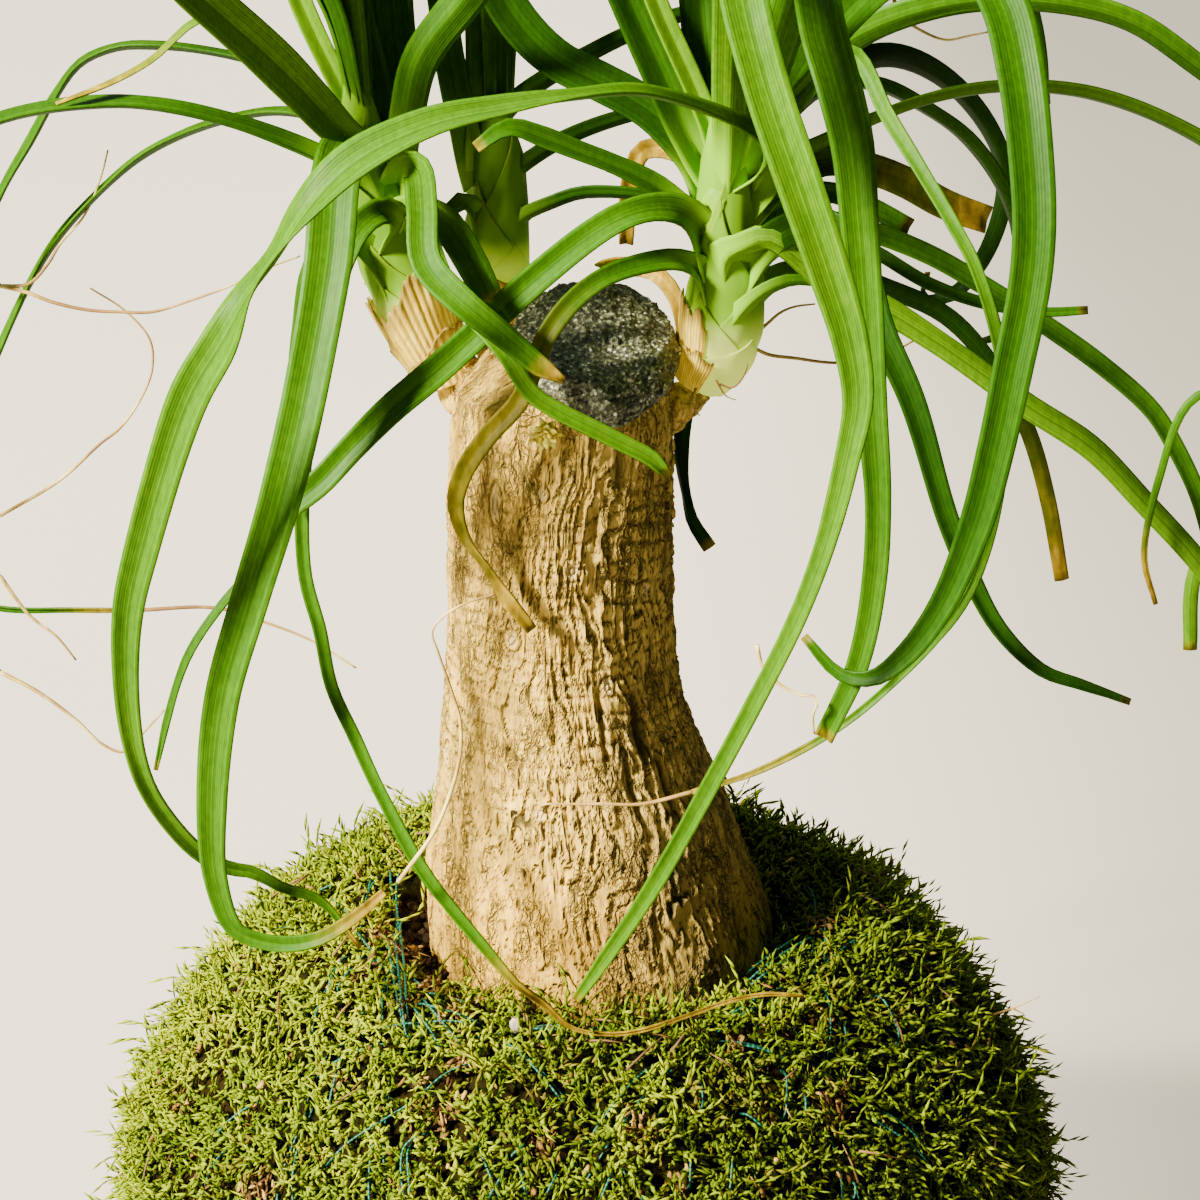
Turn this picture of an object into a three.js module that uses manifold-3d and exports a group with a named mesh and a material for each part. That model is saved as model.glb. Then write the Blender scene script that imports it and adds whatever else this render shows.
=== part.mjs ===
// A kokedama: a leafy woody plant whose soil ball is wrapped in moss and wound with thread.
// Millimetres, +Z up. The origin is the middle of the small flat spot that the ball rests on.
import * as THREE from 'three';
import * as BufferGeometryUtils from 'three/addons/utils/BufferGeometryUtils.js';
import Module from 'manifold-3d';

const wasm = await Module();
wasm.setup();

// The moss ball
const BALL_RADIUS = 121.5;
const BALL_HALF_HEIGHT = 101.5;
const BALL_CENTRE_Z = 92;
const LUMP = 2.4;               // how far the moss swells and sinks
const MOSS_THICKNESS = 9;
const HOLLOW_DEPTH = 13;        // the dip in the moss round the trunk
const HOLLOW_RADIUS = 58;
const OPENING_MARGIN = 1.6;     // bare soil between the trunk and the moss
const OPENING_WIDER = 8;        // and how much wider that is at the left

// The trunk, from its buried foot to its cut top: [z, middle x, half width x, half width y]
const TRUNK_Y = -8;
const TRUNK = [
  [118, 3, 14, 14], [132, 4, 30, 29], [150, 4, 41, 40], [166, 4, 44.4, 44], [176, 3.5, 44, 43.5],
  [192, 0, 41, 40.5], [207, -1.5, 37.2, 37], [223, -4, 33, 33], [234, -5.5, 30.6, 31], [250, -6.5, 28.2, 29],
  [285, -6.5, 27.6, 28], [308, -6, 27, 27.6], [318, -5, 26, 27], [324, -2, 23, 26], [328.5, 1, 18.5, 24.5],
];
// Woody stubs that carry the shoots: [from, to, radius at each end]
const STUBS = [
  [[-20, -3, 303], [-36, -1, 322], 9, 6.5],
  [[-13, 6, 305], [-21.5, 20, 329], 9, 6],
  [[10, -5, 303], [28, -5, 315], 8, 5.5],
];
const TOP_TILT = 4;             // how much higher the back of the cut top is
const ROOT_COUNT = 7;
const ROOT_REACH = 62;
const ROOT_DROP = 46;
const ROOT_RADIUS = 5;

// The wax on the cut top
const WAX_X = 1.7;
const WAX_RUN = 6;              // how far it has run down the front
const WAX_EDGE_Z = 324.5;
// Its rows above the edge: [z, half width x, half width y]
const WAX_ROWS = [[328.5, 20.4, 27.6], [332, 18.8, 25.6], [334.5, 14, 19], [335.5, 7, 9]];

const BUD = { at: [-9.5, -35.5, 316], size: [4.2, 3.2, 3.8] };

// The thread: each winding is a ring round the ball, [bearing, degrees clear of the top, and of the foot]
const THREAD_RADIUS = 0.6;
const THREAD_CLEAR = 2;
const THREAD_STEPS = 26;
const WINDINGS = [
  [180, 24, 29], [168, 27, 31], [222, 30, 29], [266, 31, 29], [318, 31, 28], [2, 29, 30], [96, 27, 30],
];

const LEAF_THICKNESS = 1;
const LEAF_STEP = 22;           // length of one straight piece of a leaf
const END_ON = 0.4;             // a leaf seen more end-on than this keeps the turn that it had
const GAP = 0.35;               // left between pieces that touch

// Each leaf point is [across, up, y, width, turn]. Across and up are where a viewer sees it: they are
// measured on the plane through VIEW_CENTRE, square to a line of sight that looks down by VIEW_TILT degrees
// from VIEW_DISTANCE. y is its real depth. A turn of 0 degrees shows the viewer the leaf's flat face, and 90
// its edge. A crown leaf is [bearing, rise, reach, drop, width] from the top of its shoot.
const VIEW_CENTRE = new THREE.Vector3(3.5, 0, 259);
const VIEW_TILT = THREE.MathUtils.degToRad(22);
const VIEW_DISTANCE = 900;

const LEFT = {
  axis: [
    [-34, -2, 317, 5], [-37.5, -1, 326, 6.5], [-42, -1, 337, 7.6], [-46, 0, 348, 8], [-50, 0, 363, 7.4],
    [-53, 0, 378, 5.5], [-54.5, 0, 391, 2.5],
  ],
  seen: [
    [ // broad outer
      [-57, 108, 0, 8, 0], [-64, 116, -6, 9, 0], [-80, 133, -20, 11, 0], [-101, 152, -38, 11, 10],
      [-127, 176, -52, 11, 20], [-160, 186, -62, 10, 30], [-190, 168, -66, 9, 40], [-207, 120, -64, 8, 30],
      [-206, 60, -56, 6.5, 20], [-190, 8, -46, 4, 10], [-165, -12, -38, 2.2, 0], [-150, -18, -34, 1.2, 0],
    ],
    [ // young
      [-57, 108, 0, 5, 0], [-60, 118, 0, 5.5, 0], [-75, 150, 2, 5.5, 0], [-86, 185, 4, 5, 0],
      [-97, 216, 6, 3, 0], [-104, 238, 8, 1, 0],
    ],
    [ // tall arch
      [-56, 104, 4, 8, 0], [-55, 116, 5, 10, 0], [-63, 150, 8, 11, 0], [-72, 190, 14, 10.5, 10],
      [-84, 222, 24, 9.5, 30], [-108, 243, 38, 8.5, 45], [-138, 238, 52, 7.5, 50], [-166, 205, 60, 6.5, 50],
      [-182, 158, 62, 5.5, 50], [-181, 112, 58, 4, 50], [-168, 88, 52, 2.6, 40], [-150, 78.5, 46, 1.6, 30],
    ],
    [ // tall back
      [-54, 104, 8, 8, 0], [-50, 118, 9, 10, 0], [-52, 150, 14, 10.5, 0], [-55, 195, 26, 10, 0],
      [-62, 230, 44, 8, 10], [-72, 248, 66, 5.5, 10], [-84, 252, 88, 2.5, 10],
    ],
    [ // inner right
      [-53, 102, -2, 8, 0], [-49, 118, -3, 8.5, 0], [-45, 135, -5, 9, 0], [-34, 150, -8, 9.5, 10],
      [-16, 172, -14, 9, 20], [8, 190, -24, 7.5, 30], [36, 198, -38, 5.5, 40], [62, 190, -52, 2.5, 40],
    ],
    [ // low arch
      [-56, 101, -4, 7, 30], [-67, 109, -6, 8, 45], [-80, 115, -7, 8.5, 55], [-95, 120, -9, 8.5, 60],
      [-112, 123.5, -11, 8.5, 62], [-125, 124, -12, 8.5, 62], [-150, 120, -15, 8, 60],
      [-176, 106, -19, 7, 60], [-194, 80, -22, 6, 60], [-197, 50, -24, 4.5, 50], [-184, 25, -24, 3, 40],
      [-165, 10, -24, 1.8, 30], [-150, 6, -24, 1.2, 20],
    ],
    [ // side one
      [-57, 106, 5, 6, 40], [-69, 119, 14, 7, 65], [-80, 122, 22, 7, 70], [-97, 119, 32, 7, 70],
      [-112, 112.5, 40, 7, 70], [-122, 105, 45, 6.5, 70], [-135, 91, 50, 6, 68], [-142, 80, 52, 5.5, 65],
      [-150, 62.5, 55, 5, 60], [-157, 44, 56, 4, 55], [-160, 30, 56, 2.4, 50], [-150, 21, 54, 1.2, 40],
    ],
    [ // side two
      [-58, 110, 7, 6, 40], [-75, 129, 16, 7, 68], [-85, 134, 20, 7, 70], [-100, 137.5, 26, 7, 72],
      [-112, 138.5, 30, 7, 72], [-121, 138, 33, 6.5, 70], [-130, 134, 36, 6.5, 66], [-136, 126, 38, 6, 62],
      [-142, 115, 39, 6, 60], [-150, 101, 40, 5.5, 60], [-161, 70, 40, 5, 60], [-169, 40, 38, 4.5, 60],
      [-170, 16, 34, 4, 60], [-162, 2, 28, 3, 60], [-150, -2, 24, 2.2, 50], [-132, -2.5, 18, 1.8, 40],
      [-115, -2.5, 14, 1.2, 40],
    ],
    [ // yellowing
      [-58, 108, 3, 4, 40], [-78, 133, 2, 4, 60], [-90, 144, 0, 3.5, 60], [-100, 145, -3, 3, 50],
      [-112, 135, -7, 2.4, 40], [-122, 129.5, -10, 2, 40], [-136, 124, -14, 1.2, 40],
    ],
    [ // front
      [-53, 94, -2, 9, 0], [-58, 108, -10, 11, 0], [-63, 115, -22, 11.5, 0], [-66, 106, -34, 11.5, 0],
      [-68, 84, -44, 11.5, 0], [-74, 50, -56, 10.5, 5], [-80, 25, -62, 10, 5], [-87.5, 0, -66, 9.5, 5],
      [-94.5, -25, -68, 8.5, 5], [-97, -52, -70, 7.5, 5], [-96, -70, -70, 6, 5], [-91.5, -82, -70, 5, 20],
      [-87, -84.5, -70, 4.5, 45], [-79, -86, -71, 4, 0], [-70, -84.5, -72, 3.5, 0], [-61, -79, -73, 3, 0],
      [-54, -73, -74, 2, 0],
    ],
    [ // long front
      [-50, 87, -3, 8, 0], [-50, 94, -12, 8, 10], [-54, 97, -19, 7.5, 20], [-60, 93, -26, 7, 20],
      [-66, 80, -33, 6, 10], [-70, 60, -38, 5, 0], [-74, 35, -42, 4, 0], [-74.5, 18, -44, 3.5, 0],
      [-73.5, 5, -46, 3.3, 0], [-70, -7.5, -48, 3.2, 0], [-67, -22, -51, 3.2, 0], [-61, -35, -54, 3.2, 0],
      [-55, -48, -58, 3.2, 0], [-44, -68, -66, 3.2, 0], [-28, -88, -73, 2.8, 0], [-21, -96, -75, 1.6, 0],
    ],
    [ // side thin
      [-49, 78, -2, 9, 0], [-55, 85, -7, 8, 0], [-63, 90, -12, 7.5, 20], [-71, 84, -16, 7, 40],
      [-75, 66, -19, 6, 50], [-77, 45, -21, 5, 50], [-81, 24, -22, 4.2, 40], [-87, 7, -23, 3.4, 40],
      [-93.5, 0, -23, 3, 40], [-103, -14, -24, 2.6, 30], [-108.5, -31, -25, 2, 20],
      [-111, -42.5, -26, 1, 0],
    ],
    [ // short brown tip
      [-53, 98, -2, 7, 0], [-49, 108, -12, 7.5, 0], [-45.5, 107, -22, 7.5, 0], [-44.5, 98, -32, 7.5, 0],
      [-43.5, 84.5, -41, 7.5, 0], [-35, 75, -47, 7, 0], [-24, 66, -50, 6, 0], [-15, 58.5, -52, 5, 0],
      [-9, 55, -53, 1.6, 0],
    ],
    [ // short pale tip
      [-52, 94, -2, 6, 0], [-47, 98, -12, 6, 0], [-43.5, 91, -22, 5.5, 0], [-39, 80, -31, 5, 0],
      [-31, 70, -38, 4.5, 0], [-24, 62, -43, 4.2, 0], [-17, 51.5, -47, 4.2, 0], [-11, 47.5, -48, 4.2, 0],
      [-4, 44, -48, 4.2, 0], [5, 39.5, -47, 4.2, 0], [13.5, 35, -46, 4, 0], [17, 31, -45, 2.4, 0],
    ],
    [ // short cut
      [-52, 92, 0, 7, 0], [-46, 97, -8, 6.5, 0], [-39.5, 94, -14, 6, 0], [-33, 86, -18, 6, 0],
      [-27.5, 76, -20, 5.5, 0],
    ],
    [ // back
      [-54, 100, 5, 8, 0], [-55, 120, 22, 8.5, 0], [-56, 131, 50, 8, 0], [-56, 127, 82, 7, 0],
      [-54, 112, 108, 5.5, 0], [-53, 93, 124, 2.5, 0],
    ],
  ],
  crown: [
    [150, 92, 168, 230, 8], [172, 78, 186, 250, 9], [196, 96, 170, 290, 8.5], [219, 84, 178, 210, 8],
    [238, 100, 110, 34, 8], [128, 88, 150, 68, 8], [108, 104, 118, 74, 8],
  ],
};

const BACK = {
  axis: [
    [-21, 17.5, 326, 6], [-21.5, 20.5, 338, 7.2], [-21.5, 21.5, 352, 7], [-21.5, 22, 368, 5.8],
    [-21.5, 22, 382, 2.5],
  ],
  seen: [
    [ // spoke one
      [-27, 86, 20, 6, 0], [-23, 93, 18, 5, 10], [-18.5, 96.5, 17, 4, 30], [-13, 99, 16, 4, 40],
      [-6, 101.5, 15, 4, 40], [0, 102, 14, 4, 45], [9, 101.5, 13, 3.6, 45], [15, 100.5, 13, 2, 45],
    ],
    [ // spoke two
      [-28, 92, 20, 6, 0], [-26, 100, 19, 5.5, 10], [-23, 105.5, 19, 5, 20], [-17, 110.5, 19, 4.6, 30],
      [-7.5, 116, 20, 4.6, 35], [5, 120.5, 20, 4.4, 40], [17.5, 123, 20, 2.5, 40],
    ],
    [ // spoke three
      [-29, 108, 22, 6, 0], [-26.5, 118, 22, 5.5, 10], [-21, 125, 24, 5.2, 20], [-14, 130, 26, 5, 30],
      [5, 140.5, 32, 4.6, 30], [19, 146, 37, 4.2, 30], [35, 149, 43, 3.6, 30], [52, 146, 50, 1.6, 30],
    ],
    [ // tall
      [-29, 108, 22, 7, 0], [-29.5, 125, 23, 8, 0], [-30, 150, 26, 8, 0], [-32, 180, 34, 7.5, 0],
      [-36, 206, 48, 6.5, 0], [-42, 222, 66, 5, 0], [-48, 226, 86, 2, 0],
    ],
    [ // kinked
      [-28, 88, 19, 6, 0], [-31, 97, 15, 5.5, 0], [-35, 99.5, 12, 5, 20], [-39, 95.5, 10, 3, 20],
    ],
    [ // back
      [-29, 96, 23, 7, 0], [-29, 112, 38, 7.5, 0], [-30, 120, 62, 7, 0], [-29, 112, 88, 6, 0],
      [-28, 94, 104, 2.5, 0],
    ],
    [ // left leaning
      [-30, 104, 20, 7, 0], [-34, 118, 20, 7.5, 0], [-37.5, 135, 22, 7.5, 0], [-40, 152, 26, 7, 0],
      [-46, 176, 36, 6, 20], [-58, 196, 50, 4.5, 30], [-74, 204, 66, 2, 30],
    ],
  ],
  crown: [
    [66, 90, 138, 66, 8.5], [80, 112, 104, 74, 8], [94, 94, 140, 76, 8.5], [74, 128, 62, 24, 7],
    [104, 120, 84, 60, 7.5],
  ],
};

const RIGHT = {
  axis: [
    [27.5, -5, 317, 4.6], [31, -5, 324, 7.5], [33, -5, 332, 9], [33.5, -5, 343, 8.4], [33, -5, 357, 7.2],
    [33.5, -5, 374, 6], [34, -5, 392, 2.5],
  ],
  seen: [
    [ // long left
      [33, 98, -5, 8, 20], [42, 107, -12, 9, 40], [40, 115.5, -24, 9, 55], [25, 123, -36, 9, 62],
      [10, 127, -48, 9, 65], [-6, 126, -58, 9, 66], [-25, 123, -67, 9, 50], [-42.5, 119, -74, 9.5, 35],
      [-62.5, 109, -78, 10, 20], [-77.5, 94, -80, 10, 15], [-92.5, 71, -80, 10, 10],
      [-103, 50, -79, 9.5, 0], [-115, 11, -78, 8.5, 0], [-118, -3, -77, 7.5, 0], [-118.5, -20, -76, 6, 0],
      [-116, -39, -74, 5, 0], [-111.5, -50, -71, 4.5, 0], [-100.5, -63, -66, 4, 0], [-93, -67, -63, 3.5, 0],
      [-87, -68, -61, 3.2, 0], [-79, -72, -60, 2.6, 0], [-70, -75, -58, 2, 0], [-60, -87, -57, 1, 0],
    ],
    [ // cut left
      [30, 84, -6, 10, 0], [26, 92, -11, 9.5, 0], [21, 97, -15, 8.5, 10], [14, 98, -19, 8, 25],
      [6, 96, -23, 7.5, 20], [-2.5, 91, -25, 7.2, 10], [-17.5, 79, -29, 7.2, 0], [-32.5, 65, -34, 7.2, 0],
      [-42.5, 56, -38, 7.2, 0], [-52.5, 47.5, -42, 7, 0], [-62.5, 37.5, -45, 6.6, 0],
      [-70.5, 29, -47, 6, 0],
    ],
    [ // olive
      [29, 76, -8, 7, 0], [25, 82.5, -13, 6.5, 10], [19, 85, -18, 6, 20], [9, 83.5, -24, 5.5, 20],
      [0, 80, -30, 5, 10], [-7.5, 74, -35, 5, 0], [-14, 65, -39, 4.8, 0], [-20, 50, -42, 4.8, 0],
      [-28, 41, -43, 4.8, 0], [-34, 32, -43.5, 4.8, 10], [-36, 24.5, -43, 4.6, 20],
      [-33.5, 15.5, -42, 4, 50], [-28, 8, -41.5, 3.6, 75], [-23, 0, -42, 4, 20], [-17, -7.5, -43, 2.6, 0],
    ],
    [ // thin left
      [31, 90, -4, 8, 0], [21, 97.5, -6, 7, 0], [14, 103.5, -8, 6.5, 20], [4, 108.5, -10, 6, 30],
      [-5, 112, -12, 6, 30], [-14, 115.5, -14, 6, 20], [-23, 118, -16, 5, 20], [-31, 113, -18, 3, 20],
    ],
    [ // dark wide
      [31, 94, -1, 9, 0], [28, 102, 0, 9.5, 0], [22.5, 112.5, 2, 10, 0], [12.5, 122.5, 6, 10, 10],
      [0, 129.5, 8, 10, 10], [-10, 134.5, 10, 10, 10], [-17.5, 141, 11, 10, 0], [-24, 150, 12, 10, 0],
      [-34, 172, 14, 9, 0], [-43, 196, 14, 7.5, 0], [-52, 214, 12, 5, 0], [-60, 224, 10, 2, 0],
    ],
    [ // upright left
      [32, 102, 0, 9, 0], [24, 113, 0, 10, 0], [16, 131, 1, 10.5, 0], [7.5, 150, 2, 10.5, 0],
      [-4, 178, 2, 10, 0], [-18, 206, 4, 9, 10], [-38, 230, 8, 7, 20], [-62, 240, 12, 4.5, 30],
      [-80, 236, 16, 2, 30],
    ],
    [ // young
      [32, 104, -4, 5, 0], [25, 125, -5, 5.5, 0], [14, 150, -6, 5.5, 0], [4, 180, -6, 5, 0],
      [-4, 210, -4, 3.5, 0], [-9, 232, -2, 1.2, 0],
    ],
    [ // upright back
      [31, 98, 2, 9, 0], [29.5, 106, 4, 10, 0], [27, 125, 7, 10.5, 0], [25, 150, 10, 10.5, 0],
      [22, 185, 18, 10, 0], [20, 220, 32, 8.5, 0], [20, 244, 52, 6.5, 0], [22, 254, 76, 4, 0],
      [24, 252, 96, 2, 0],
    ],
    [ // lime arch
      [30, 90, -7, 8, 0], [30, 99, -11, 8, 20], [34, 103.5, -9, 7.5, 35], [42, 108, -2, 7, 55],
      [52, 112.5, 6, 7, 66], [66.5, 119, 13, 7, 70], [82.5, 125, 20, 6.5, 70], [100.5, 128, 28, 6.5, 70],
      [122, 126.5, 36, 6.5, 68], [142, 119.5, 42, 6, 66], [158, 110, 46, 6, 60], [176, 92, 48, 5.5, 60],
      [183, 68, 46, 5, 50], [176, 44, 40, 4.5, 40], [160, 22, 34, 4.2, 20], [149, 7.5, 30, 4, 0],
      [147.5, -12.5, 28, 3.5, 0],
    ],
    [ // bright
      [31, 80, -9, 9, 0], [31.5, 86.5, -14, 8, 20], [36, 88.5, -18, 7.5, 40], [41.5, 90.5, -21, 7, 40],
      [48, 87, -23, 6.5, 30], [58, 78.5, -24, 6.5, 20], [70.5, 73, -23, 6.5, 15], [85, 64, -21, 6, 10],
      [107, 48.5, -17, 6, 5], [123, 38, -14, 6, 0], [136, 24.5, -12, 5.8, 0], [150, 9, -10, 5.5, 0],
      [162, -10, -8, 4.5, 0], [170, -32, -6, 3, 0], [174, -52, -4, 1.2, 0],
    ],
    [ // small
      [31, 66, -11, 5, 0], [35, 72, -14, 4.5, 20], [40.5, 77, -16, 4, 30], [48, 80, -17, 3.2, 30],
      [56, 79, -17, 1.6, 30],
    ],
    [ // front long
      [32, 102, -8, 8, 0], [33, 132, -22, 9.5, 0], [34, 158, -44, 10.5, 0], [35, 164, -66, 10.5, 0],
      [36, 150, -84, 10.5, 0], [42, 127, -93, 10.3, 0], [50, 103.5, -99, 9.8, 0], [57, 83, -102, 9.2, 0],
      [62.5, 65, -104, 8.2, 5], [64.5, 50, -105, 7, 10], [62, 36, -106, 6, 20], [57, 16, -106, 4.8, 20],
      [50, -3, -105, 4.4, 20], [38, -27, -102, 4.2, 10], [25, -51, -97, 4.2, 0], [14, -70.5, -91, 4, 0],
      [1, -90, -85, 3.6, 0], [-6, -100, -82, 2.4, 0],
    ],
    [ // front cut
      [34, 104, -6, 8, 0], [43, 134, -20, 9.5, 0], [50, 154, -38, 10.5, 0], [53, 156, -54, 10.5, 0],
      [56, 141, -68, 10.5, 0], [60, 127, -76, 10, 0], [63, 114, -80, 9.5, 0], [65, 93, -85, 8.5, 5],
      [66.5, 72, -87, 8, 10], [68, 48, -88, 7, 10], [69.5, 24, -88, 6, 10], [68.5, 4, -87, 5.6, 10],
      [64.5, -16, -86, 5.4, 10], [56, -34.5, -84, 4.6, 10],
    ],
    [ // front curl
      [35, 106, -4, 8, 0], [54, 138, -16, 9.5, 0], [74, 158, -32, 10.5, 0], [91, 163, -48, 10.8, 0],
      [101, 149, -62, 10.8, 0], [105, 133, -72, 10.6, 0], [107.5, 113, -80, 10.2, 0],
      [108.5, 94, -86, 9.8, 0], [107.5, 80, -89, 9.4, 0], [103, 57, -93, 9, 0], [99, 38, -95, 8.5, 0],
      [94, 19, -96, 7.6, 0], [85, -2, -95, 6, 0], [76, -14, -93, 5, 0], [68, -19.5, -91, 3.8, 0],
      [60, -18.5, -88, 2.8, 0], [51, -9, -84, 1.8, 0],
    ],
    [ // thread leaf
      [34, 100, -1, 6, 0], [50, 126, -12, 5.5, 20], [63, 137, -24, 4.4, 30], [72, 121, -36, 3.8, 20],
      [80, 108, -46, 3.4, 10], [88, 94.5, -54, 3.2, 0], [94, 83, -59, 3, 0], [100.5, 59.5, -65, 2.8, 0],
      [101, 37.5, -68, 2.6, 0], [97, 14, -70, 2.4, 0], [90, -2, -72, 2.2, 0], [76, -18, -73, 2, 0],
      [59.5, -32, -74, 1.8, 0], [39, -43, -74, 1.5, 0], [23, -48, -74, 1.1, 0],
    ],
    [ // brown end one
      [33, 94, -1, 8, 0], [45, 105, 6, 8, 10], [57, 110, 12, 7.8, 10], [67, 108, 16, 7.6, 5],
      [76, 104.5, 19, 7.6, 0], [86, 99, 22, 7.6, 0], [97, 95, 24, 7, 0],
    ],
    [ // cut one
      [33, 88, -1, 6, 0], [45, 98, 3, 5.6, 10], [56, 102, 5, 5.2, 10], [67, 98.5, 7, 5, 0],
      [77.5, 93, 8, 4.6, 0],
    ],
    [ // arch one
      [34, 106, 3, 6, 20], [46, 121, 12, 6.4, 45], [58, 128.5, 20, 6.4, 60], [70, 128.5, 27, 6.2, 65],
      [82.5, 122, 34, 6, 65], [92, 115, 39, 6, 62], [100, 104, 42, 5.5, 60], [104, 92, 45, 5, 60],
      [104, 79, 46, 4.6, 60], [101.5, 67, 46, 3.8, 40], [94.5, 64.5, 44, 1.4, 20],
    ],
    [ // dark hook
      [33, 104, 7, 7, 0], [50, 126, 24, 7.5, 20], [72, 136, 44, 7.5, 40], [91, 126, 58, 6.5, 50],
      [101, 107, 66, 5.8, 45], [97, 88, 69, 5, 30], [88, 76.5, 70, 4, 30], [81, 75.5, 69, 3, 30],
      [82, 82, 68, 1.4, 30],
    ],
    [ // spoke right
      [32, 82, -3, 7, 0], [43, 91, 2, 6.5, 10], [56, 94.5, 5, 6, 25], [66.5, 92.5, 6, 5.5, 25],
      [82, 86.5, 6, 5, 10], [97, 78, 5, 4.8, 0], [111, 69, 4, 4.8, 0], [125, 59, 3, 4.8, 0],
      [138, 47.5, 1, 4.6, 0], [144, 38, 0, 4.5, 10], [150, 24.5, 0, 4.2, 10], [154, 6, -1, 3.5, 10],
      [156, -14, -2, 2.5, 10], [157, -32, -2, 1.2, 0],
    ],
    [ // cut two
      [32, 76, -6, 6, 0], [44, 88, -11, 4.5, 20], [56, 91, -13, 4, 30], [67, 88, -14, 3.5, 30],
      [82.5, 79, -15, 3.2, 20], [97, 74, -15, 2.8, 20], [111, 72, -15, 2.2, 0], [122, 72.5, -15, 1.8, 0],
    ],
    [ // brown end two
      [33, 72, 0, 7, 0], [45, 81, 10, 6.5, 20], [58, 82, 17, 6, 35], [71, 78, 21, 5.5, 35],
      [86.5, 71, 26, 5, 30], [98.5, 58, 30, 4.6, 20], [107, 42.5, 32, 4.4, 10], [112, 25, 34, 4.2, 0],
      [115.5, 5, 35, 3.8, 0],
    ],
    [ // dark low
      [32, 78, -7, 8, 0], [44, 91, -22, 8, 10], [56, 94, -36, 8, 20], [64.5, 86, -46, 7.4, 10],
      [70, 68, -52, 6.8, 0], [78, 50, -57, 6, 0], [87, 20, -61, 5.2, 0], [93, 5, -62, 4.6, 0],
      [100, -7.5, -62, 4, 0], [110.5, -17.5, -61, 3.2, 0], [120, -21, -60, 2.6, 0],
      [132.5, -25.5, -58, 1.4, 0],
    ],
    [ // far right
      [34, 106, -1, 7, 0], [58, 137, -4, 7.5, 20], [84, 148.5, -9, 7.5, 40], [109, 150, -12, 7, 45],
      [132, 145, -14, 6.5, 45], [150, 133, -16, 6, 45], [171, 116, -18, 5.5, 40], [183, 92, -20, 4.5, 40],
      [180, 68, -20, 3.6, 30], [164, 55, -19, 2.8, 20], [148, 50, -18, 2.2, 0], [140, 31, -17, 1.8, 0],
      [136, 11, -16, 1.4, 0], [139, -1, -16, 1, 0],
    ],
    [ // arch two
      [34, 108, 4, 6, 0], [58, 148, 22, 6, 20], [84, 168, 38, 5.5, 40], [100, 162, 46, 4.5, 40],
      [108, 148, 50, 3.4, 40], [110.5, 137, 52, 2.6, 40], [112, 124, 54, 1.2, 30],
    ],
    [ // arch three
      [33, 108, 1, 5, 0], [50, 146, 8, 5.5, 10], [64, 168, 14, 5, 20], [71, 166, 17, 3.6, 20],
      [73, 154, 18, 1.4, 20],
    ],
    [ // dark cut
      [30, 66, 3, 6, 0], [26, 62, 13, 5.5, 10], [22, 52, 14, 5, 10], [20.5, 41, 12, 4.2, 0],
      [20.5, 32, 10, 3.8, 40], [21.5, 26, 9, 3.4, 70], [23, 20, 8, 3.6, 20], [27.5, 13, 7, 3.6, 0],
    ],
    [ // dry
      [31, 96, 4, 6, 0], [21, 111, 13, 5.5, 0], [11, 112.5, 20, 5, 0], [7.5, 104, 23, 4.6, 0],
      [6.5, 89, 25, 3.6, 0],
    ],
    [ // back
      [34, 96, 4, 8, 0], [36, 118, 24, 8.5, 0], [37, 127, 50, 8, 0], [37, 120, 82, 7, 0],
      [35, 104, 104, 5, 0], [34, 88, 118, 2.5, 0],
    ],
  ],
  crown: [
    [350, 86, 170, 240, 8.5], [8, 98, 184, 270, 8.5], [26, 84, 176, 210, 8], [326, 92, 166, 170, 8],
    [304, 104, 104, 34, 7.5], [44, 96, 150, 70, 8], [60, 112, 120, 76, 8],
  ],
};

// The papery sheaths: [bearing of the tallest side, how far up the shoot it reaches]
const HUSK_THICKNESS = 1.1;
const HUSK_LOBES = 5;
const HUSKS = { left: [-55, 0.4], back: [-80, 0.22], right: [185, 0.24] };

const vector = (p) => new THREE.Vector3(p[0], p[1], p[2]);

// A closed body through rings of points: capped at both ends, or joined end to end when it is a loop
function loft(rings, loop = false) {
  const sides = rings[0].length;
  const points = rings.flat();
  const index = [];
  const quads = loop ? rings.length : rings.length - 1;
  for (let i = 0; i < quads; i++) {
    for (let j = 0; j < sides; j++) {
      const k = (j + 1) % sides;
      const here = i * sides;
      const next = ((i + 1) % rings.length) * sides;
      index.push(here + j, here + k, next + k, here + j, next + k, next + j);
    }
  }
  if (!loop) {
    for (const [ring, first, way] of [[rings[0], 0, -1], [rings.at(-1), (rings.length - 1) * sides, 1]]) {
      const middle = ring.reduce((sum, p) => sum.add(p), new THREE.Vector3()).divideScalar(sides);
      const centre = points.push(middle) - 1;
      for (let j = 0; j < sides; j++) {
        const edge = [first + j, first + (j + 1) % sides];
        index.push(centre, ...(way > 0 ? edge : edge.reverse()));
      }
    }
  }
  return solidOf(new THREE.BufferGeometry().setFromPoints(points).setIndex(index));
}

function solidOf(geometry) {
  geometry.deleteAttribute('normal');
  geometry.deleteAttribute('uv');
  const merged = BufferGeometryUtils.mergeVertices(geometry, 1e-4);
  const solid = new wasm.Manifold(new wasm.Mesh({
    numProp: 3,
    vertProperties: new Float32Array(merged.attributes.position.array),
    triVerts: new Uint32Array(merged.index.array),
  }));
  return solid;
}

// The biggest piece of what a cut leaves
function biggest(solid) {
  return solid.decompose().sort((a, b) => b.volume() - a.volume())[0];
}

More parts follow.
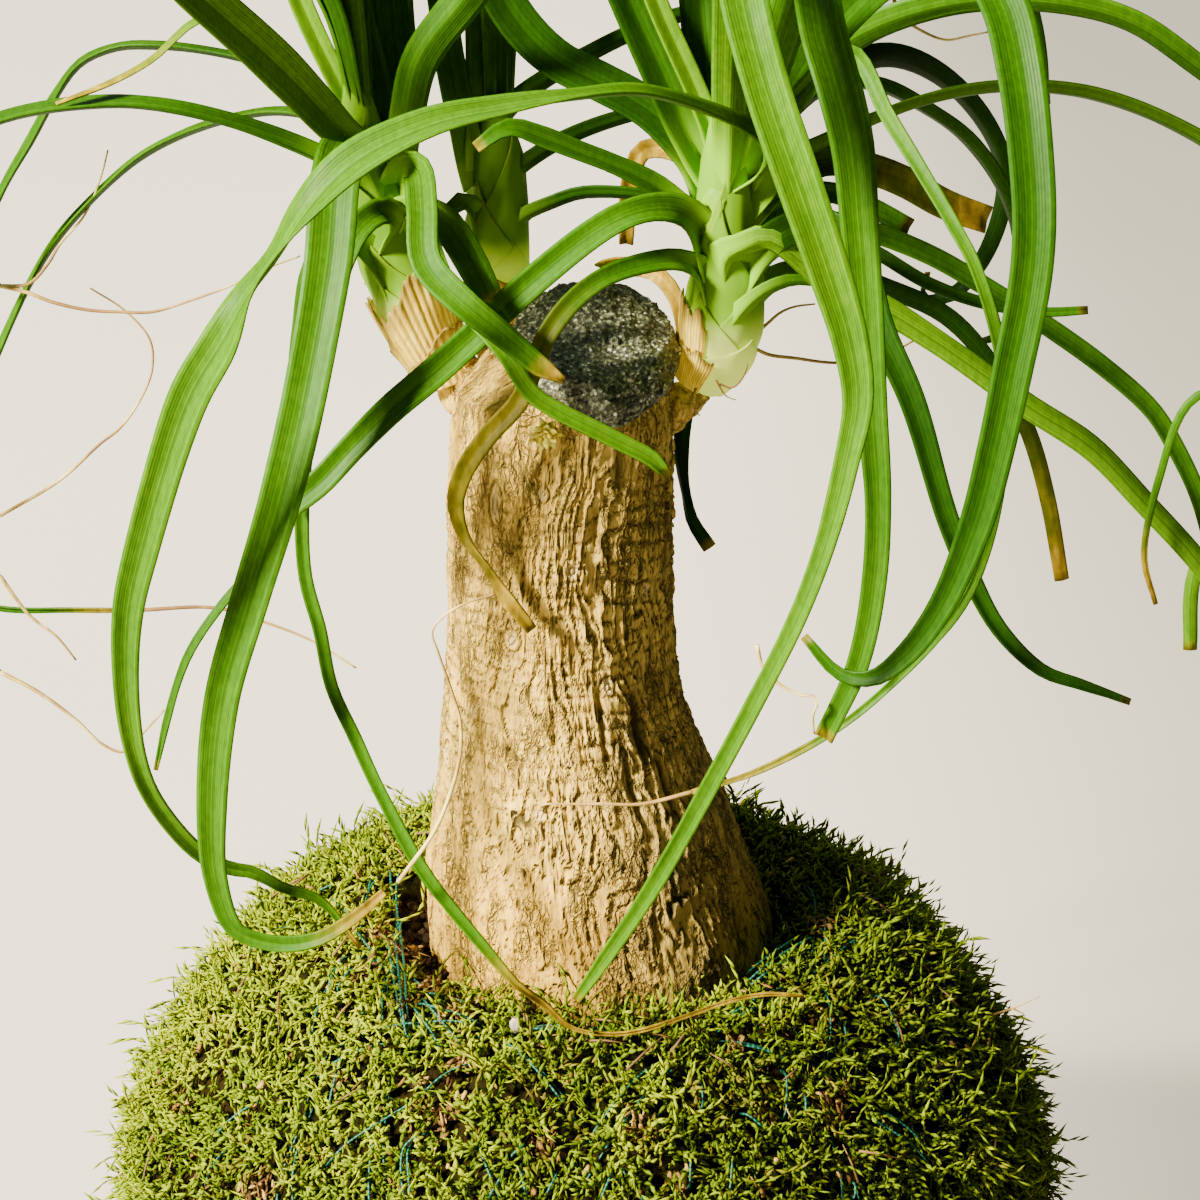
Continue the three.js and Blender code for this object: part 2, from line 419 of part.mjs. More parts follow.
// A round body along an axis of [x, y, z, radius], swollen by grow
function stem(axis, sides, grow = 0) {
  const rings = axis.map(([x, y, z, radius], i) => {
    const before = vector(axis[Math.max(i - 1, 0)]);
    const along = vector(axis[Math.min(i + 1, axis.length - 1)]).sub(before).normalize();
    const side = new THREE.Vector3(0, 1, 0).cross(along).normalize();
    const up = along.clone().cross(side);
    return circle(sides, (angle) => new THREE.Vector3(x, y, z)
      .addScaledVector(side, (radius + grow) * Math.cos(angle))
      .addScaledVector(up, (radius + grow) * Math.sin(angle)));
  });
  return loft(rings);
}

function circle(sides, place) {
  return Array.from({ length: sides }, (_, j) => place((j / sides) * 2 * Math.PI));
}

// A point of the moss ball's surface, at a bearing and an angle from the top, moved out by a distance
function ballPoint(bearing, fromTop, out, lump = LUMP) {
  const flat = Math.sin(fromTop);
  const swell = lump * flat ** 2 * (0.5 * Math.sin(3 * bearing + 1.2) * Math.sin(2 * fromTop + 0.4)
    + 0.4 * Math.sin(5 * bearing + 0.5 + 3 * fromTop) + 0.4 * Math.cos(7 * bearing - 4 * fromTop));
  const x = (BALL_RADIUS + out + swell) * flat * Math.cos(bearing);
  const y = (BALL_RADIUS + out + swell) * flat * Math.sin(bearing);
  const fromTrunk = Math.hypot(x - TRUNK[3][1], y - TRUNK_Y) / HOLLOW_RADIUS;
  const hollow = fromTop < Math.PI / 2 ? HOLLOW_DEPTH * Math.exp(-(fromTrunk ** 6)) : 0;
  const z = BALL_CENTRE_Z + (BALL_HALF_HEIGHT + out + swell) * Math.cos(fromTop) - hollow;
  return new THREE.Vector3(x, y, z);
}

// The ball from its flat spot up, moved in by a depth
function ball(depth, sides, rows, lump) {
  const foot = Math.acos((depth - BALL_CENTRE_Z) / (BALL_HALF_HEIGHT - depth));
  const rings = Array.from({ length: rows }, (_, i) => {
    const fromTop = foot * (1 - i / rows);
    const ring = circle(sides, (bearing) => ballPoint(bearing, fromTop, -depth, lump));
    if (i === 0) ring.forEach((p) => { p.z = depth; });
    return ring;
  });
  return loft(rings);
}

function trunkSolid(grow = 0) {
  const sides = 28;
  const rings = TRUNK.map(([z, x, halfX, halfY], i) => circle(sides, (angle) => {
    const ridge = 1 + 0.012 * Math.sin(5 * angle + 0.02 * z) + 0.01 * Math.sin(8 * angle - 0.05 * z);
    const top = i === TRUNK.length - 1;
    const rise = (top ? grow : 0) + (i > TRUNK.length - 4 ? TOP_TILT * Math.sin(angle) : 0);
    return new THREE.Vector3(x + (halfX * ridge + grow) * Math.cos(angle),
      TRUNK_Y + (halfY * ridge + grow) * Math.sin(angle), z + rise);
  }));
  let solid = loft(rings);
  for (const [from, to, wide, narrow] of STUBS) {
    const end = vector(to).addScaledVector(vector(to).sub(vector(from)).normalize(), grow);
    solid = solid.add(stem([[...from, wide], [...end.toArray(), narrow]], 10, grow));
  }
  for (let i = 0; i < ROOT_COUNT; i++) {
    const bearing = (i / ROOT_COUNT) * 2 * Math.PI;
    const x = Math.cos(bearing);
    const y = Math.sin(bearing);
    const root = [0.3, 0.6, 1].map((t) => [TRUNK[1][1] + x * ROOT_REACH * t, TRUNK_Y + y * ROOT_REACH * t,
      TRUNK[1][0] + 8 - ROOT_DROP * t * t, ROOT_RADIUS * (1.15 - 0.8 * t)]);
    solid = solid.add(stem(root, 6, grow));
  }
  return solid;
}

function soilSolid(grow = 0) {
  return ball(MOSS_THICKNESS - grow, 24, 10, 0);
}

// The moss has an uneven opening round the trunk
function openingSolid() {
  const [, middleX, halfX] = TRUNK[3];
  const rings = [140, 205].map((z) => circle(28, (angle) => {
    const wider = OPENING_WIDER * Math.max(0, Math.cos(angle - Math.PI * 1.08)) ** 2;
    const radius = halfX + OPENING_MARGIN + wider + 0.7 * Math.sin(9 * angle);
    return new THREE.Vector3(middleX + radius * Math.cos(angle), TRUNK_Y + radius * Math.sin(angle), z);
  }));
  return loft(rings);
}

function mossSolid() {
  return ball(0, 36, 14, LUMP).subtract(soilSolid(GAP)).subtract(openingSolid());
}

function windingSolid([bearing, clearTop, clearFoot]) {
  const tilt = THREE.MathUtils.degToRad((clearFoot - clearTop) / 2);
  const spread = THREE.MathUtils.degToRad(90 - (clearTop + clearFoot) / 2);
  const turn = THREE.MathUtils.degToRad(bearing);
  const middle = new THREE.Vector3(Math.cos(turn), Math.sin(turn), Math.tan(tilt)).normalize();
  const level = new THREE.Vector3(-Math.sin(turn), Math.cos(turn), 0);
  const steep = middle.clone().cross(level);
  const rings = Array.from({ length: THREAD_STEPS }, (_, i) => {
    const angle = (i / THREAD_STEPS) * 2 * Math.PI;
    const way = middle.clone().multiplyScalar(Math.cos(spread))
      .addScaledVector(level, Math.sin(spread) * Math.cos(angle))
      .addScaledVector(steep, Math.sin(spread) * Math.sin(angle));
    const fromTop = Math.acos(way.z);
    const at = Math.atan2(way.y, way.x);
    const along = level.clone().multiplyScalar(-Math.sin(angle)).addScaledVector(steep, Math.cos(angle));
    const outward = way.clone();
    const across = along.clone().cross(outward).normalize();
    return circle(3, (spin) => ballPoint(at, fromTop, THREAD_CLEAR)
      .addScaledVector(outward, THREAD_RADIUS * Math.cos(spin))
      .addScaledVector(across, THREAD_RADIUS * Math.sin(spin)));
  });
  return loft(rings, true);
}

function threadSolid() {
  return WINDINGS.map(windingSolid).reduce((sum, winding) => sum.add(winding));
}

function waxSolid() {
  const front = (angle) => Math.max(0, Math.cos(angle + Math.PI * 0.42));
  const run = (angle) => WAX_RUN * front(angle) ** 1.5 - 0.8 * Math.sin(6 * angle);
  const rows = [[WAX_EDGE_Z, 20.6, 28.4], ...WAX_ROWS];
  const rings = rows.map(([z, halfX, halfY], i) => circle(28, (angle) => new THREE.Vector3(
    WAX_X + halfX * Math.cos(angle), TRUNK_Y + halfY * Math.sin(angle),
    z + TOP_TILT * Math.sin(angle) - (i === 0 ? run(angle) : 0))));
  return loft(rings);
}

function budSolid() {
  const bud = new THREE.SphereGeometry(1, 10, 7);
  bud.scale(...BUD.size);
  bud.translate(...BUD.at);
  return solidOf(bud);
}

// A point that the viewer sees at across and up, at depth y
function onSight([across, up, y]) {
  const eye = new THREE.Vector3(0, -Math.cos(VIEW_TILT), Math.sin(VIEW_TILT)).multiplyScalar(VIEW_DISTANCE)
    .add(VIEW_CENTRE);
  const way = new THREE.Vector3(across, up * Math.sin(VIEW_TILT) + VIEW_DISTANCE * Math.cos(VIEW_TILT),
    up * Math.cos(VIEW_TILT) - VIEW_DISTANCE * Math.sin(VIEW_TILT));
  return eye.addScaledVector(way, (y - eye.y) / way.y);
}

const towardsViewer = new THREE.Vector3(0, -Math.cos(VIEW_TILT), Math.sin(VIEW_TILT));

// A strap leaf along points [position, width, turn]; flatSide gives the way across it before it is turned.
// It keeps its side where the picture of it turns back, so it never twists over.
function leafSolid(points, flatSide, grow) {
  const curve = new THREE.CatmullRomCurve3(points.map((p) => p.at), false, 'centripetal');
  const steps = Math.max(4, Math.round(curve.getLength() / LEAF_STEP));
  const half = LEAF_THICKNESS / 2 + grow;
  let before = null;
  const rings = Array.from({ length: steps + 1 }, (_, i) => {
    const t = curve.getUtoTmapping(i / steps);
    const place = t * (points.length - 1);
    const first = points[Math.floor(place)];
    const second = points[Math.min(Math.floor(place) + 1, points.length - 1)];
    const width = THREE.MathUtils.lerp(first.width, second.width, place % 1);
    const turn = THREE.MathUtils.degToRad(THREE.MathUtils.lerp(first.turn, second.turn, place % 1));
    const along = curve.getTangent(t);
    const level = flatSide(along);
    level.addScaledVector(along, -level.dot(along));
    const endOn = level.length() < END_ON;
    level.normalize();
    let across = level.clone().multiplyScalar(Math.cos(turn))
      .addScaledVector(level.clone().cross(along), -Math.sin(turn));
    if (before && endOn) {
      across = before.addScaledVector(along, -before.dot(along)).normalize();
    } else if (before && across.dot(before) < 0) {
      across.negate();
    }
    before = across.clone();
    const face = across.clone().cross(along);
    const corner = (w, h) => curve.getPoint(t).addScaledVector(across, w * (width / 2 + grow))
      .addScaledVector(face, h * half);
    return [corner(1, 1), corner(-1, 1), corner(-1, -1), corner(1, -1)];
  });
  return blade(rings);
}

// A thin body through rings of four corners, its two flat faces split into triangles alike
function blade(rings) {
  const index = [];
  const quad = (a, b, c, d) => index.push(a, c, b, a, d, c);
  const last = (rings.length - 1) * 4;
  for (let i = 0; i < last; i += 4) {
    quad(i, i + 1, i + 5, i + 4);
    quad(i + 1, i + 2, i + 6, i + 5);
    quad(i + 3, i + 7, i + 6, i + 2);
    quad(i + 3, i, i + 4, i + 7);
  }
  quad(3, 2, 1, 0);
  quad(last, last + 1, last + 2, last + 3);
  return solidOf(new THREE.BufferGeometry().setFromPoints(rings.flat()).setIndex(index));
}

function seenLeaf(points, grow) {
  const placed = points.map((p) => ({ at: onSight(p), width: p[3], turn: p[4] }));
  return leafSolid(placed, (along) => along.clone().cross(towardsViewer), grow);
}

// A leaf that arches out over the crown: [bearing, rise, reach, drop, width]
function crownLeaf(head, [bearing, rise, reach, drop, width], grow) {
  const foot = vector(head.axis.at(-2));
  const turn = THREE.MathUtils.degToRad(bearing);
  const outward = new THREE.Vector3(Math.cos(turn), Math.sin(turn), 0);
  const shape = [
    [0, -0.1, 0.8], [0.05, 0.42, 0.9], [0.2, 0.82, 1], [0.45, 1, 1], [0.72, 0.82, 0.8], [0.92, 0.35, 0.5],
  ];
  const points = shape.map(([out, up, wide]) => ({
    at: foot.clone().addScaledVector(outward, reach * out).setZ(foot.z + rise * up),
    width: width * wide,
    turn: 0,
  }));
  const tip = foot.clone().addScaledVector(outward, reach).setZ(foot.z + rise - drop);
  if (drop < rise) points.pop();
  points.push({ at: tip, width: 1.4, turn: 0 });
  const across = new THREE.Vector3(-outward.y, outward.x, 0);
  return leafSolid(points, () => across.clone(), grow);
}

function headSolid(head, grow = 0) {
  const leaves = [
    ...head.seen.map((points) => seenLeaf(points, grow)),
    ...head.crown.map((shape) => crownLeaf(head, shape, grow)),
  ];
  return leaves.reduce((sum, leaf) => sum.add(leaf), stem(head.axis, 12, grow));
}

// A dry sheath round the foot of a shoot, with pointed lobes
function huskSolid(head, [bearing, reach], grow = 0) {
  const curve = new THREE.CatmullRomCurve3(head.axis.map(vector), false, 'centripetal');
  const radiusAt = (t) => {
    const place = t * (head.axis.length - 1);
    const i = Math.min(Math.floor(place), head.axis.length - 2);
    return THREE.MathUtils.lerp(head.axis[i][3], head.axis[i + 1][3], place - i);
  };
  const wall = (out, rows) => rows.map((row) => circle(HUSK_LOBES * 4, (angle) => {
    const tall = 0.5 + 0.5 * Math.cos(angle - THREE.MathUtils.degToRad(bearing));
    const tip = Math.abs(Math.sin((HUSK_LOBES * angle) / 2 + 0.6));
    const t = 0.02 + row * reach * (0.4 + 0.4 * tall + 0.2 * tip);
    const along = curve.getTangent(t);
    const side = new THREE.Vector3(0, 1, 0).cross(along).normalize();
    const up = along.clone().cross(side);
    const radius = radiusAt(t) + out + 1.2 * row * row;
    return curve.getPoint(t).addScaledVector(side, radius * Math.cos(angle))
      .addScaledVector(up, radius * Math.sin(angle));
  }));
  const outer = wall(GAP + HUSK_THICKNESS + grow, [0, 0.5, 1]);
  const inner = wall(GAP - grow, [1, 0.5, 0]);
  return loft([...outer, ...inner], true);
}

function meshOf(name, solid, colour, roughness) {
  const { vertProperties, triVerts } = solid.getMesh();
  const geometry = new THREE.BufferGeometry();
  geometry.setAttribute('position', new THREE.BufferAttribute(new Float32Array(vertProperties), 3));
  geometry.setIndex(new THREE.BufferAttribute(new Uint32Array(triVerts), 1));
  const material = new THREE.MeshStandardMaterial({ color: colour, roughness, metalness: 0 });
  const mesh = new THREE.Mesh(geometry, material);
  mesh.name = name;
  return mesh;
}

const plant = new THREE.Group();
const trunk = trunkSolid();
const trunkRoom = trunkSolid(GAP);
const heads = { left: LEFT, back: BACK, right: RIGHT };

plant.add(meshOf('soil_ball', soilSolid().subtract(trunkRoom), 0x2d2116, 0.95));
plant.add(meshOf('moss_cover', biggest(mossSolid().subtract(trunkRoom)), 0x7d8f2a, 0.9));
plant.add(meshOf('binding_thread', threadSolid(), 0x0b7a68, 0.45));
plant.add(meshOf('trunk', trunk, 0xc9a97a, 0.85));

let wax = waxSolid().subtract(trunkRoom);
for (const [side, head] of Object.entries(heads)) {
  const room = headSolid(head, GAP);
  const husks = biggest(huskSolid(head, HUSKS[side]).subtract(trunkRoom).subtract(room));
  plant.add(meshOf(`${side}_leaf_head`, biggest(headSolid(head).subtract(trunkRoom)), 0x5f9a1e, 0.5));
  plant.add(meshOf(`${side}_husks`, husks, 0xc8b070, 0.8));
  wax = wax.subtract(room).subtract(huskSolid(head, HUSKS[side], GAP));
}
plant.add(meshOf('wax_seal', biggest(wax), 0x2b2b26, 0.6));
plant.add(meshOf('trunk_bud', biggest(budSolid().subtract(trunkRoom)), 0xc3ab4f, 0.7));

export default plant;
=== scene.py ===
# %% [markdown]
# # A moss ball plant
# The real thing is a kokedama: a leafy woody plant whose soil ball is wrapped in live moss and wound with
# thread. The CAD model gives every piece its place and its size. This lesson dresses it: each CAD node is
# replaced by a finer piece that keeps its form, and the finish of each surface is made with nodes.

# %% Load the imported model
import math
import bmesh
import bpy
import numpy as np
from mathutils import Matrix, Vector, kdtree, noise


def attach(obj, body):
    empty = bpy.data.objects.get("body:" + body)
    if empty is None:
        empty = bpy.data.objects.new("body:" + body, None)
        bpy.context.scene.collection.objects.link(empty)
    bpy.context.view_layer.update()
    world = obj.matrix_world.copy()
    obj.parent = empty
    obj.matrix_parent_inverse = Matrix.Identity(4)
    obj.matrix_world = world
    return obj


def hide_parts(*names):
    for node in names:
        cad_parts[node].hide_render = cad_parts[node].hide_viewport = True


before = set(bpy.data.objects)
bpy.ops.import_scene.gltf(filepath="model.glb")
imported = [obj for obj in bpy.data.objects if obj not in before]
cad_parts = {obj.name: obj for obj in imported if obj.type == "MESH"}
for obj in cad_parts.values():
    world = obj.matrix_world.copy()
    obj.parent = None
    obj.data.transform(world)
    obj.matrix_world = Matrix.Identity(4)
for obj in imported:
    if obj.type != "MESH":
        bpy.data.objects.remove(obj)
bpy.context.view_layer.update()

MM = 0.001
rng = np.random.default_rng(11)

# %% [markdown]
# The photograph looks down by about 22 degrees from 0.9 m away, through a longish lens. The leaves that it
# shows are listed as the eye sees them, so the camera's numbers come first: the same ones place the leaves.

# %% The camera
VIEW_CENTRE = np.array([3.5, 0, 259])      # mm, the middle of the photograph
VIEW_TILT = math.radians(22)
VIEW_DISTANCE = 900
LENS, SENSOR = 108, 36
to_eye = np.array([0, -math.cos(VIEW_TILT), math.sin(VIEW_TILT)])
eye = VIEW_CENTRE + VIEW_DISTANCE * to_eye

camera = bpy.data.objects.new("camera", bpy.data.cameras.new("camera"))
camera.data.lens = LENS
camera.data.sensor_width = SENSOR
camera.data.clip_start = 0.05
camera.location = eye * MM
camera.rotation_euler = Vector(to_eye).to_track_quat("Z", "Y").to_euler()
bpy.context.scene.collection.objects.link(camera)
bpy.context.scene.camera = camera
print("the eye is at", np.round(eye), "mm")

# %% [markdown]
# A node group is a finish's shared effect, with sockets of its own. Small helpers keep the materials short:
# one adds a node and joins its inputs, one makes a material with its shader, and the rest make the nodes that
# come back often. The last one is a whole finish for small things, whose colour and relief follow one noise.

# %% Helpers for node trees
def add_node(tree, kind, inputs=(), **settings):
    node = tree.nodes.new(kind)
    for name, value in settings.items():
        setattr(node, name, value)
    for socket, value in dict(inputs).items():
        if isinstance(value, bpy.types.NodeSocket):
            tree.links.new(value, node.inputs[socket])
        else:
            node.inputs[socket].default_value = value
    return node


def new_material(name, roughness=0.6, **constants):
    material = bpy.data.materials.new(name)
    material.use_nodes = True
    tree = material.node_tree
    shader = tree.nodes["Principled BSDF"]
    shader.inputs["Roughness"].default_value = roughness
    for socket, value in constants.items():
        shader.inputs[socket.replace("_", " ")].default_value = value
    return material, tree, shader


def ramp(tree, factor, *stops):
    node = add_node(tree, "ShaderNodeValToRGB", {"Fac": factor})
    elements = node.color_ramp.elements
    while len(elements) < len(stops):
        elements.new(0.5)
    for element, (place, colour) in zip(elements, stops):
        element.position = place
        element.color = (*colour, 1)
    return node.outputs["Color"]


def mix(tree, factor, first, second, blend="MIX"):
    node = add_node(tree, "ShaderNodeMix", data_type="RGBA", blend_type=blend)
    for socket, value in ((0, factor), (6, first), (7, second)):
        if isinstance(value, bpy.types.NodeSocket):
            tree.links.new(value, node.inputs[socket])
        else:
            node.inputs[socket].default_value = value if socket == 0 else (*value, 1)
    return node.outputs[2]


def arithmetic(tree, operation, *values):
    return add_node(tree, "ShaderNodeMath", dict(enumerate(values)), operation=operation).outputs[0]


def scaled(tree, value, factor):
    return arithmetic(tree, "MULTIPLY", value, factor)


def remap(tree, value, low, high, to_low, to_high, **settings):
    spans = {"Value": value, "From Min": low, "From Max": high, "To Min": to_low, "To Max": to_high}
    return add_node(tree, "ShaderNodeMapRange", spans, **settings).outputs["Result"]


def attribute(tree, name):
    return add_node(tree, "ShaderNodeAttribute", attribute_name=name).outputs["Fac"]


def object_noise(tree, scale, stretch=(1, 1, 1), detail=3.0, roughness=0.55):
    place = add_node(tree, "ShaderNodeTexCoord").outputs["Object"]
    mapped = add_node(tree, "ShaderNodeMapping", {"Vector": place, "Scale": stretch}).outputs["Vector"]
    return add_node(tree, "ShaderNodeTexNoise",
                    {"Vector": mapped, "Scale": scale, "Detail": detail, "Roughness": roughness}).outputs["Fac"]


def ripples(tree, value, count):
    """Even ripples from 0 to 1 along a value."""
    wave = arithmetic(tree, "SINE", scaled(tree, value, count))
    return arithmetic(tree, "MULTIPLY_ADD", wave, 0.5, 0.5)


def grey(value):
    return (value, value, value)


def bump(tree, shader, height, strength, distance):
    node = add_node(tree, "ShaderNodeBump", {"Height": height, "Strength": strength, "Distance": distance})
    tree.links.new(node.outputs["Normal"], shader.inputs["Normal"])


def paint(tree, shader, colour):
    tree.links.new(colour, shader.inputs["Base Color"])


def mottled_material(name, roughness, noise_settings, stops, relief, **constants):
    material, tree, shader = new_material(name, roughness, **constants)
    mottle = object_noise(tree, **noise_settings)
    paint(tree, shader, ramp(tree, mottle, *stops))
    bump(tree, shader, mottle, *relief)
    return material

print("helpers for node trees are ready; half grey is", grey(0.5))

# %% [markdown]
# Every piece is a mesh of its own in metres, with its object at the origin. One helper turns a bmesh into
# such a piece, smooths it, gives it its finish and hides the CAD node that it stands for.

# %% Helpers for pieces
def finish_piece(name, mesh, material, slot, *nodes):
    mesh.polygons.foreach_set("use_smooth", np.ones(len(mesh.polygons), dtype=bool))
    mesh.materials.append(material)
    piece = bpy.data.objects.new(name, mesh)
    bpy.context.scene.collection.objects.link(piece)
    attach(piece, "root")
    if nodes:
        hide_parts(*nodes)
    print(f"{name}: {len(mesh.vertices)} points, {len(mesh.polygons)} faces")
    return piece


def mesh_of(bm, name):
    mesh = bpy.data.meshes.new(name)
    bm.to_mesh(mesh)
    bm.free()
    return mesh


def add_attribute(mesh, name, values):
    layer = mesh.attributes.new(name, "FLOAT", "POINT")
    layer.data.foreach_set("value", np.asarray(values, dtype=np.float32))


def points_of(mesh):
    flat = np.empty(len(mesh.vertices) * 3, dtype=np.float32)
    mesh.vertices.foreach_get("co", flat)
    return flat.reshape(-1, 3).astype(float)


def move_points(mesh, points):
    mesh.vertices.foreach_set("co", np.asarray(points, dtype=np.float32).ravel())
    mesh.update()


def smooth_step(low, high, value):
    t = np.clip((value - low) / (high - low), 0, 1)
    return t * t * (3 - 2 * t)


CELLS = rng.permutation(256)
SLOPES = rng.normal(size=(256, 3))
SLOPES /= np.linalg.norm(SLOPES, axis=1, keepdims=True)


def field(points, scale=1.0, offset=0.0):
    """Smooth noise from about -1 to 1 at many points at once."""
    places = np.asarray(points) * scale + offset
    cell = np.floor(places).astype(int)
    rest = places - cell
    fade = rest ** 3 * (rest * (rest * 6 - 15) + 10)
    total = np.zeros(len(places))
    for corner in np.ndindex(2, 2, 2):
        x, y, z = (cell + corner).T & 255
        slope = SLOPES[CELLS[(CELLS[(CELLS[x] + y) & 255] + z) & 255]]
        weight = np.prod(np.where(corner, fade, 1 - fade), axis=1)
        total += weight * np.sum((rest - corner) * slope, axis=1)
    return total * 1.7

# %% [markdown]
# A plain pale floor and soft lamps. The sharpest light is warm and comes from the upper left, as the bright
# left side of the trunk and its dark right side show. Two weak fills and the surround are slightly green. A
# white floor would fill the shadows with its own bounce, so this one reflects less than it shows: for the
# camera alone it glows, a painted light, dimmed by painted shade a little near the plant and much more far to
# the right, as on a studio sweep.

# %% The floor and the lights
PALE = (1.0, 0.90, 0.66)
FLOOR_GLOW = 2.0
SURROUND_SEEN, SURROUND_LIGHT = 2.2, 0.065     # its strength for the camera, added to its strength as light
WARM, COOL = (1.0, 0.91, 0.75), (0.84, 1.0, 0.95)


def camera_only(tree, strength):
    ray = add_node(tree, "ShaderNodeLightPath").outputs["Is Camera Ray"]
    return scaled(tree, ray, strength)


floor_paint, tree, shader = new_material("pale_floor", roughness=0.95, Specular_IOR_Level=0.1)
speckle = object_noise(tree, 3.0, detail=2.0)
paint(tree, shader, ramp(tree, speckle, (0.3, (0.29, 0.27, 0.22)), (0.7, (0.31, 0.29, 0.24))))
shader.inputs["Emission Color"].default_value = (*PALE, 1)
place = add_node(tree, "ShaderNodeSeparateXYZ", {0: add_node(tree, "ShaderNodeTexCoord").outputs["Object"]})
# painted shade in the floor's glow: it dims much far to the right and a little near the plant
painted_shade_rightwards = remap(tree, place.outputs["X"], -0.06, 0.38, 1.0, 0.27, interpolation_type="SMOOTHERSTEP")
painted_shade_nearer = remap(tree, place.outputs["Y"], 0.1, 0.8, 0.84, 1.0)
painted_glow = scaled(tree, camera_only(tree, FLOOR_GLOW), scaled(tree, painted_shade_rightwards, painted_shade_nearer))
tree.links.new(painted_glow, shader.inputs["Emission Strength"])
bm = bmesh.new()
bmesh.ops.create_grid(bm, x_segments=2, y_segments=2, size=9)
floor_mesh = mesh_of(bm, "floor")
floor_mesh.materials.append(floor_paint)
floor = bpy.data.objects.new("floor", floor_mesh)
bpy.context.scene.collection.objects.link(floor)

world = bpy.data.worlds.new("surround")
world.use_nodes = True
tree = world.node_tree
surround = tree.nodes["Background"]
seen = add_node(tree, "ShaderNodeLightPath").outputs["Is Camera Ray"]
tree.links.new(mix(tree, seen, (0.72, 1.0, 0.88), PALE), surround.inputs["Color"])
tree.links.new(arithmetic(tree, "ADD", camera_only(tree, SURROUND_SEEN), SURROUND_LIGHT), surround.inputs["Strength"])
bpy.context.scene.world = world

LAMPS = [  # name, place, size, watts, colour
    ("key", (-1.86, -1.22, 1.7), 0.42, 550, WARM),
    ("top_fill", (-0.5, 1.0, 2.8), 2.0, 36, COOL),
    ("front_fill", (-1.0, -2.6, 1.4), 1.8, 2, COOL),
]
for name, place, size, watts, colour in LAMPS:
    lamp = bpy.data.lights.new(name, "AREA")
    lamp.size = size
    lamp.energy = watts
    lamp.color = colour
    lamp_object = bpy.data.objects.new(name, lamp)
    lamp_object.location = place
    aim = Vector(place) - Vector((0, 0, 0.25))
    lamp_object.rotation_euler = aim.to_track_quat("Z", "Y").to_euler()
    bpy.context.scene.collection.objects.link(lamp_object)
print("lamps:", len(LAMPS))

# %% [markdown]
# ## The trunk
# The trunk is a woody stem, swollen at its foot. Its form is the CAD one: rings of a middle, a width and a
# depth at each height. A fine flat grid is rolled into a closed tube and then moved onto those rings.
# A spun profile would give the same tube, but takes minutes where there are hundreds of steps.

# %% The trunk's form
TRUNK_Y = -8
TRUNK = [  # z, middle x, half width x, half width y
    (118, 3, 14, 14), (132, 4, 30, 29), (150, 4, 41, 40), (166, 4, 44.4, 44), (176, 3.5, 44, 43.5),
    (192, 0, 41, 40.5), (207, -1.5, 37.2, 37), (223, -4, 33, 33), (234, -5.5, 30.6, 31),
    (250, -6.5, 28.2, 29), (285, -6.5, 27.6, 28), (308, -6, 27, 27.6), (318, -5, 26, 27),
    (324, -2, 23, 26), (328.5, 1, 18.5, 24.5),
]
TOP_TILT = 4
BARK_SIDES = 520
BARK_LAYERS = ("crack_and_shade", "scar", "ring", "painted_shade", "foot")
trunk_table = np.array(TRUNK)


def trunk_at(z):
    return [np.interp(z, trunk_table[:, 0], trunk_table[:, column]) for column in (1, 2, 3)]


def top_rise(z, angle):
    return TOP_TILT * np.sin(angle) * smooth_step(318, 324, z)


def rolled_grid(heights, sides):
    """A tube of unit radius with rows at the given heights in mm. Its two ends shrink to points."""
    bm = bmesh.new()
    last = len(heights) - 1
    for vert in bmesh.ops.create_grid(bm, x_segments=sides, y_segments=last, size=1)["verts"]:
        row = round((vert.co.y + 1) / 2 * last)
        spin = (vert.co.x + 1) * math.pi
        reach = 1e-5 if row in (0, last) else 1
        vert.co = (reach * math.cos(spin), reach * math.sin(spin), heights[row])
    bmesh.ops.remove_doubles(bm, verts=[vert for vert in bm.verts if vert.is_boundary], dist=1e-4)
    bmesh.ops.recalc_face_normals(bm, faces=bm.faces)
    return bm

print("widest at the foot:", 2 * max(ring[2] for ring in TRUNK), "mm")

# %% [markdown]
# This bark is made of thin upright flakes whose right edges stand up, so lit from the left each edge draws a
# wavy dark line. A saw-tooth that runs round the trunk gives that shape: it rises slowly and drops at once.
# Noise bends the teeth and lets them come and go. Broken rings run round the upper stem, a few pale oval scars
# mark old leaves and twigs, and some gaps are deep. Each effect is also kept as an attribute for the colour, which
# paints the drops of the teeth and the deep gaps dark: darker inner bark and painted shade.

# %% The bark's relief
SCARS = [  # bearing in degrees, z, half width, half height in mm
    (-124, 296, 1.6, 4.6), (-83, 281, 1.9, 2.4), (-114, 262, 2.0, 2.4), (-137, 241, 1.2, 2.2),
    (-88, 232, 1.1, 1.2), (-103, 219, 1.6, 1.9), (-65, 250, 1.6, 2.2), (-98, 300, 1.2, 1.8), (-40, 272, 1.6, 2.4),
    (20, 250, 2, 3), (60, 290, 2, 3), (120, 240, 2, 3), (170, 275, 2, 3), (-160, 225, 2, 3), (90, 215, 2, 3),
]
CLEFTS = [  # deep dark gaps: bearing, z, half width, half height, depth
    (-51, 238, 1.7, 9, 3.0), (-62, 226, 0.9, 8, 1.8), (-44, 222, 1.1, 9, 2.2), (-36, 250, 1.0, 9, 1.8),
    (-70, 240, 0.7, 10, 1.4), (-58, 305, 1.3, 7, 1.6), (-70, 292, 0.8, 6, 1.1), (-94, 240, 0.7, 5, 0.9),
    (80, 250, 1.5, 8, 2), (150, 230, 1.4, 7, 1.8),
]


def flake(angle, count, warp, seed, skin):
    """A saw-tooth of so many teeth round the trunk, from 0 to 1, and its drop, which the colour darkens as painted
    shade.
    """
    tooth = (angle / (2 * math.pi) * count + warp + seed) % 1
    strength = smooth_step(-0.25, 0.35, skin)
    return tooth ** 1.3 * (1 - smooth_step(0.90, 1.0, tooth)) * strength, strength * smooth_step(0.86, 0.95, tooth)


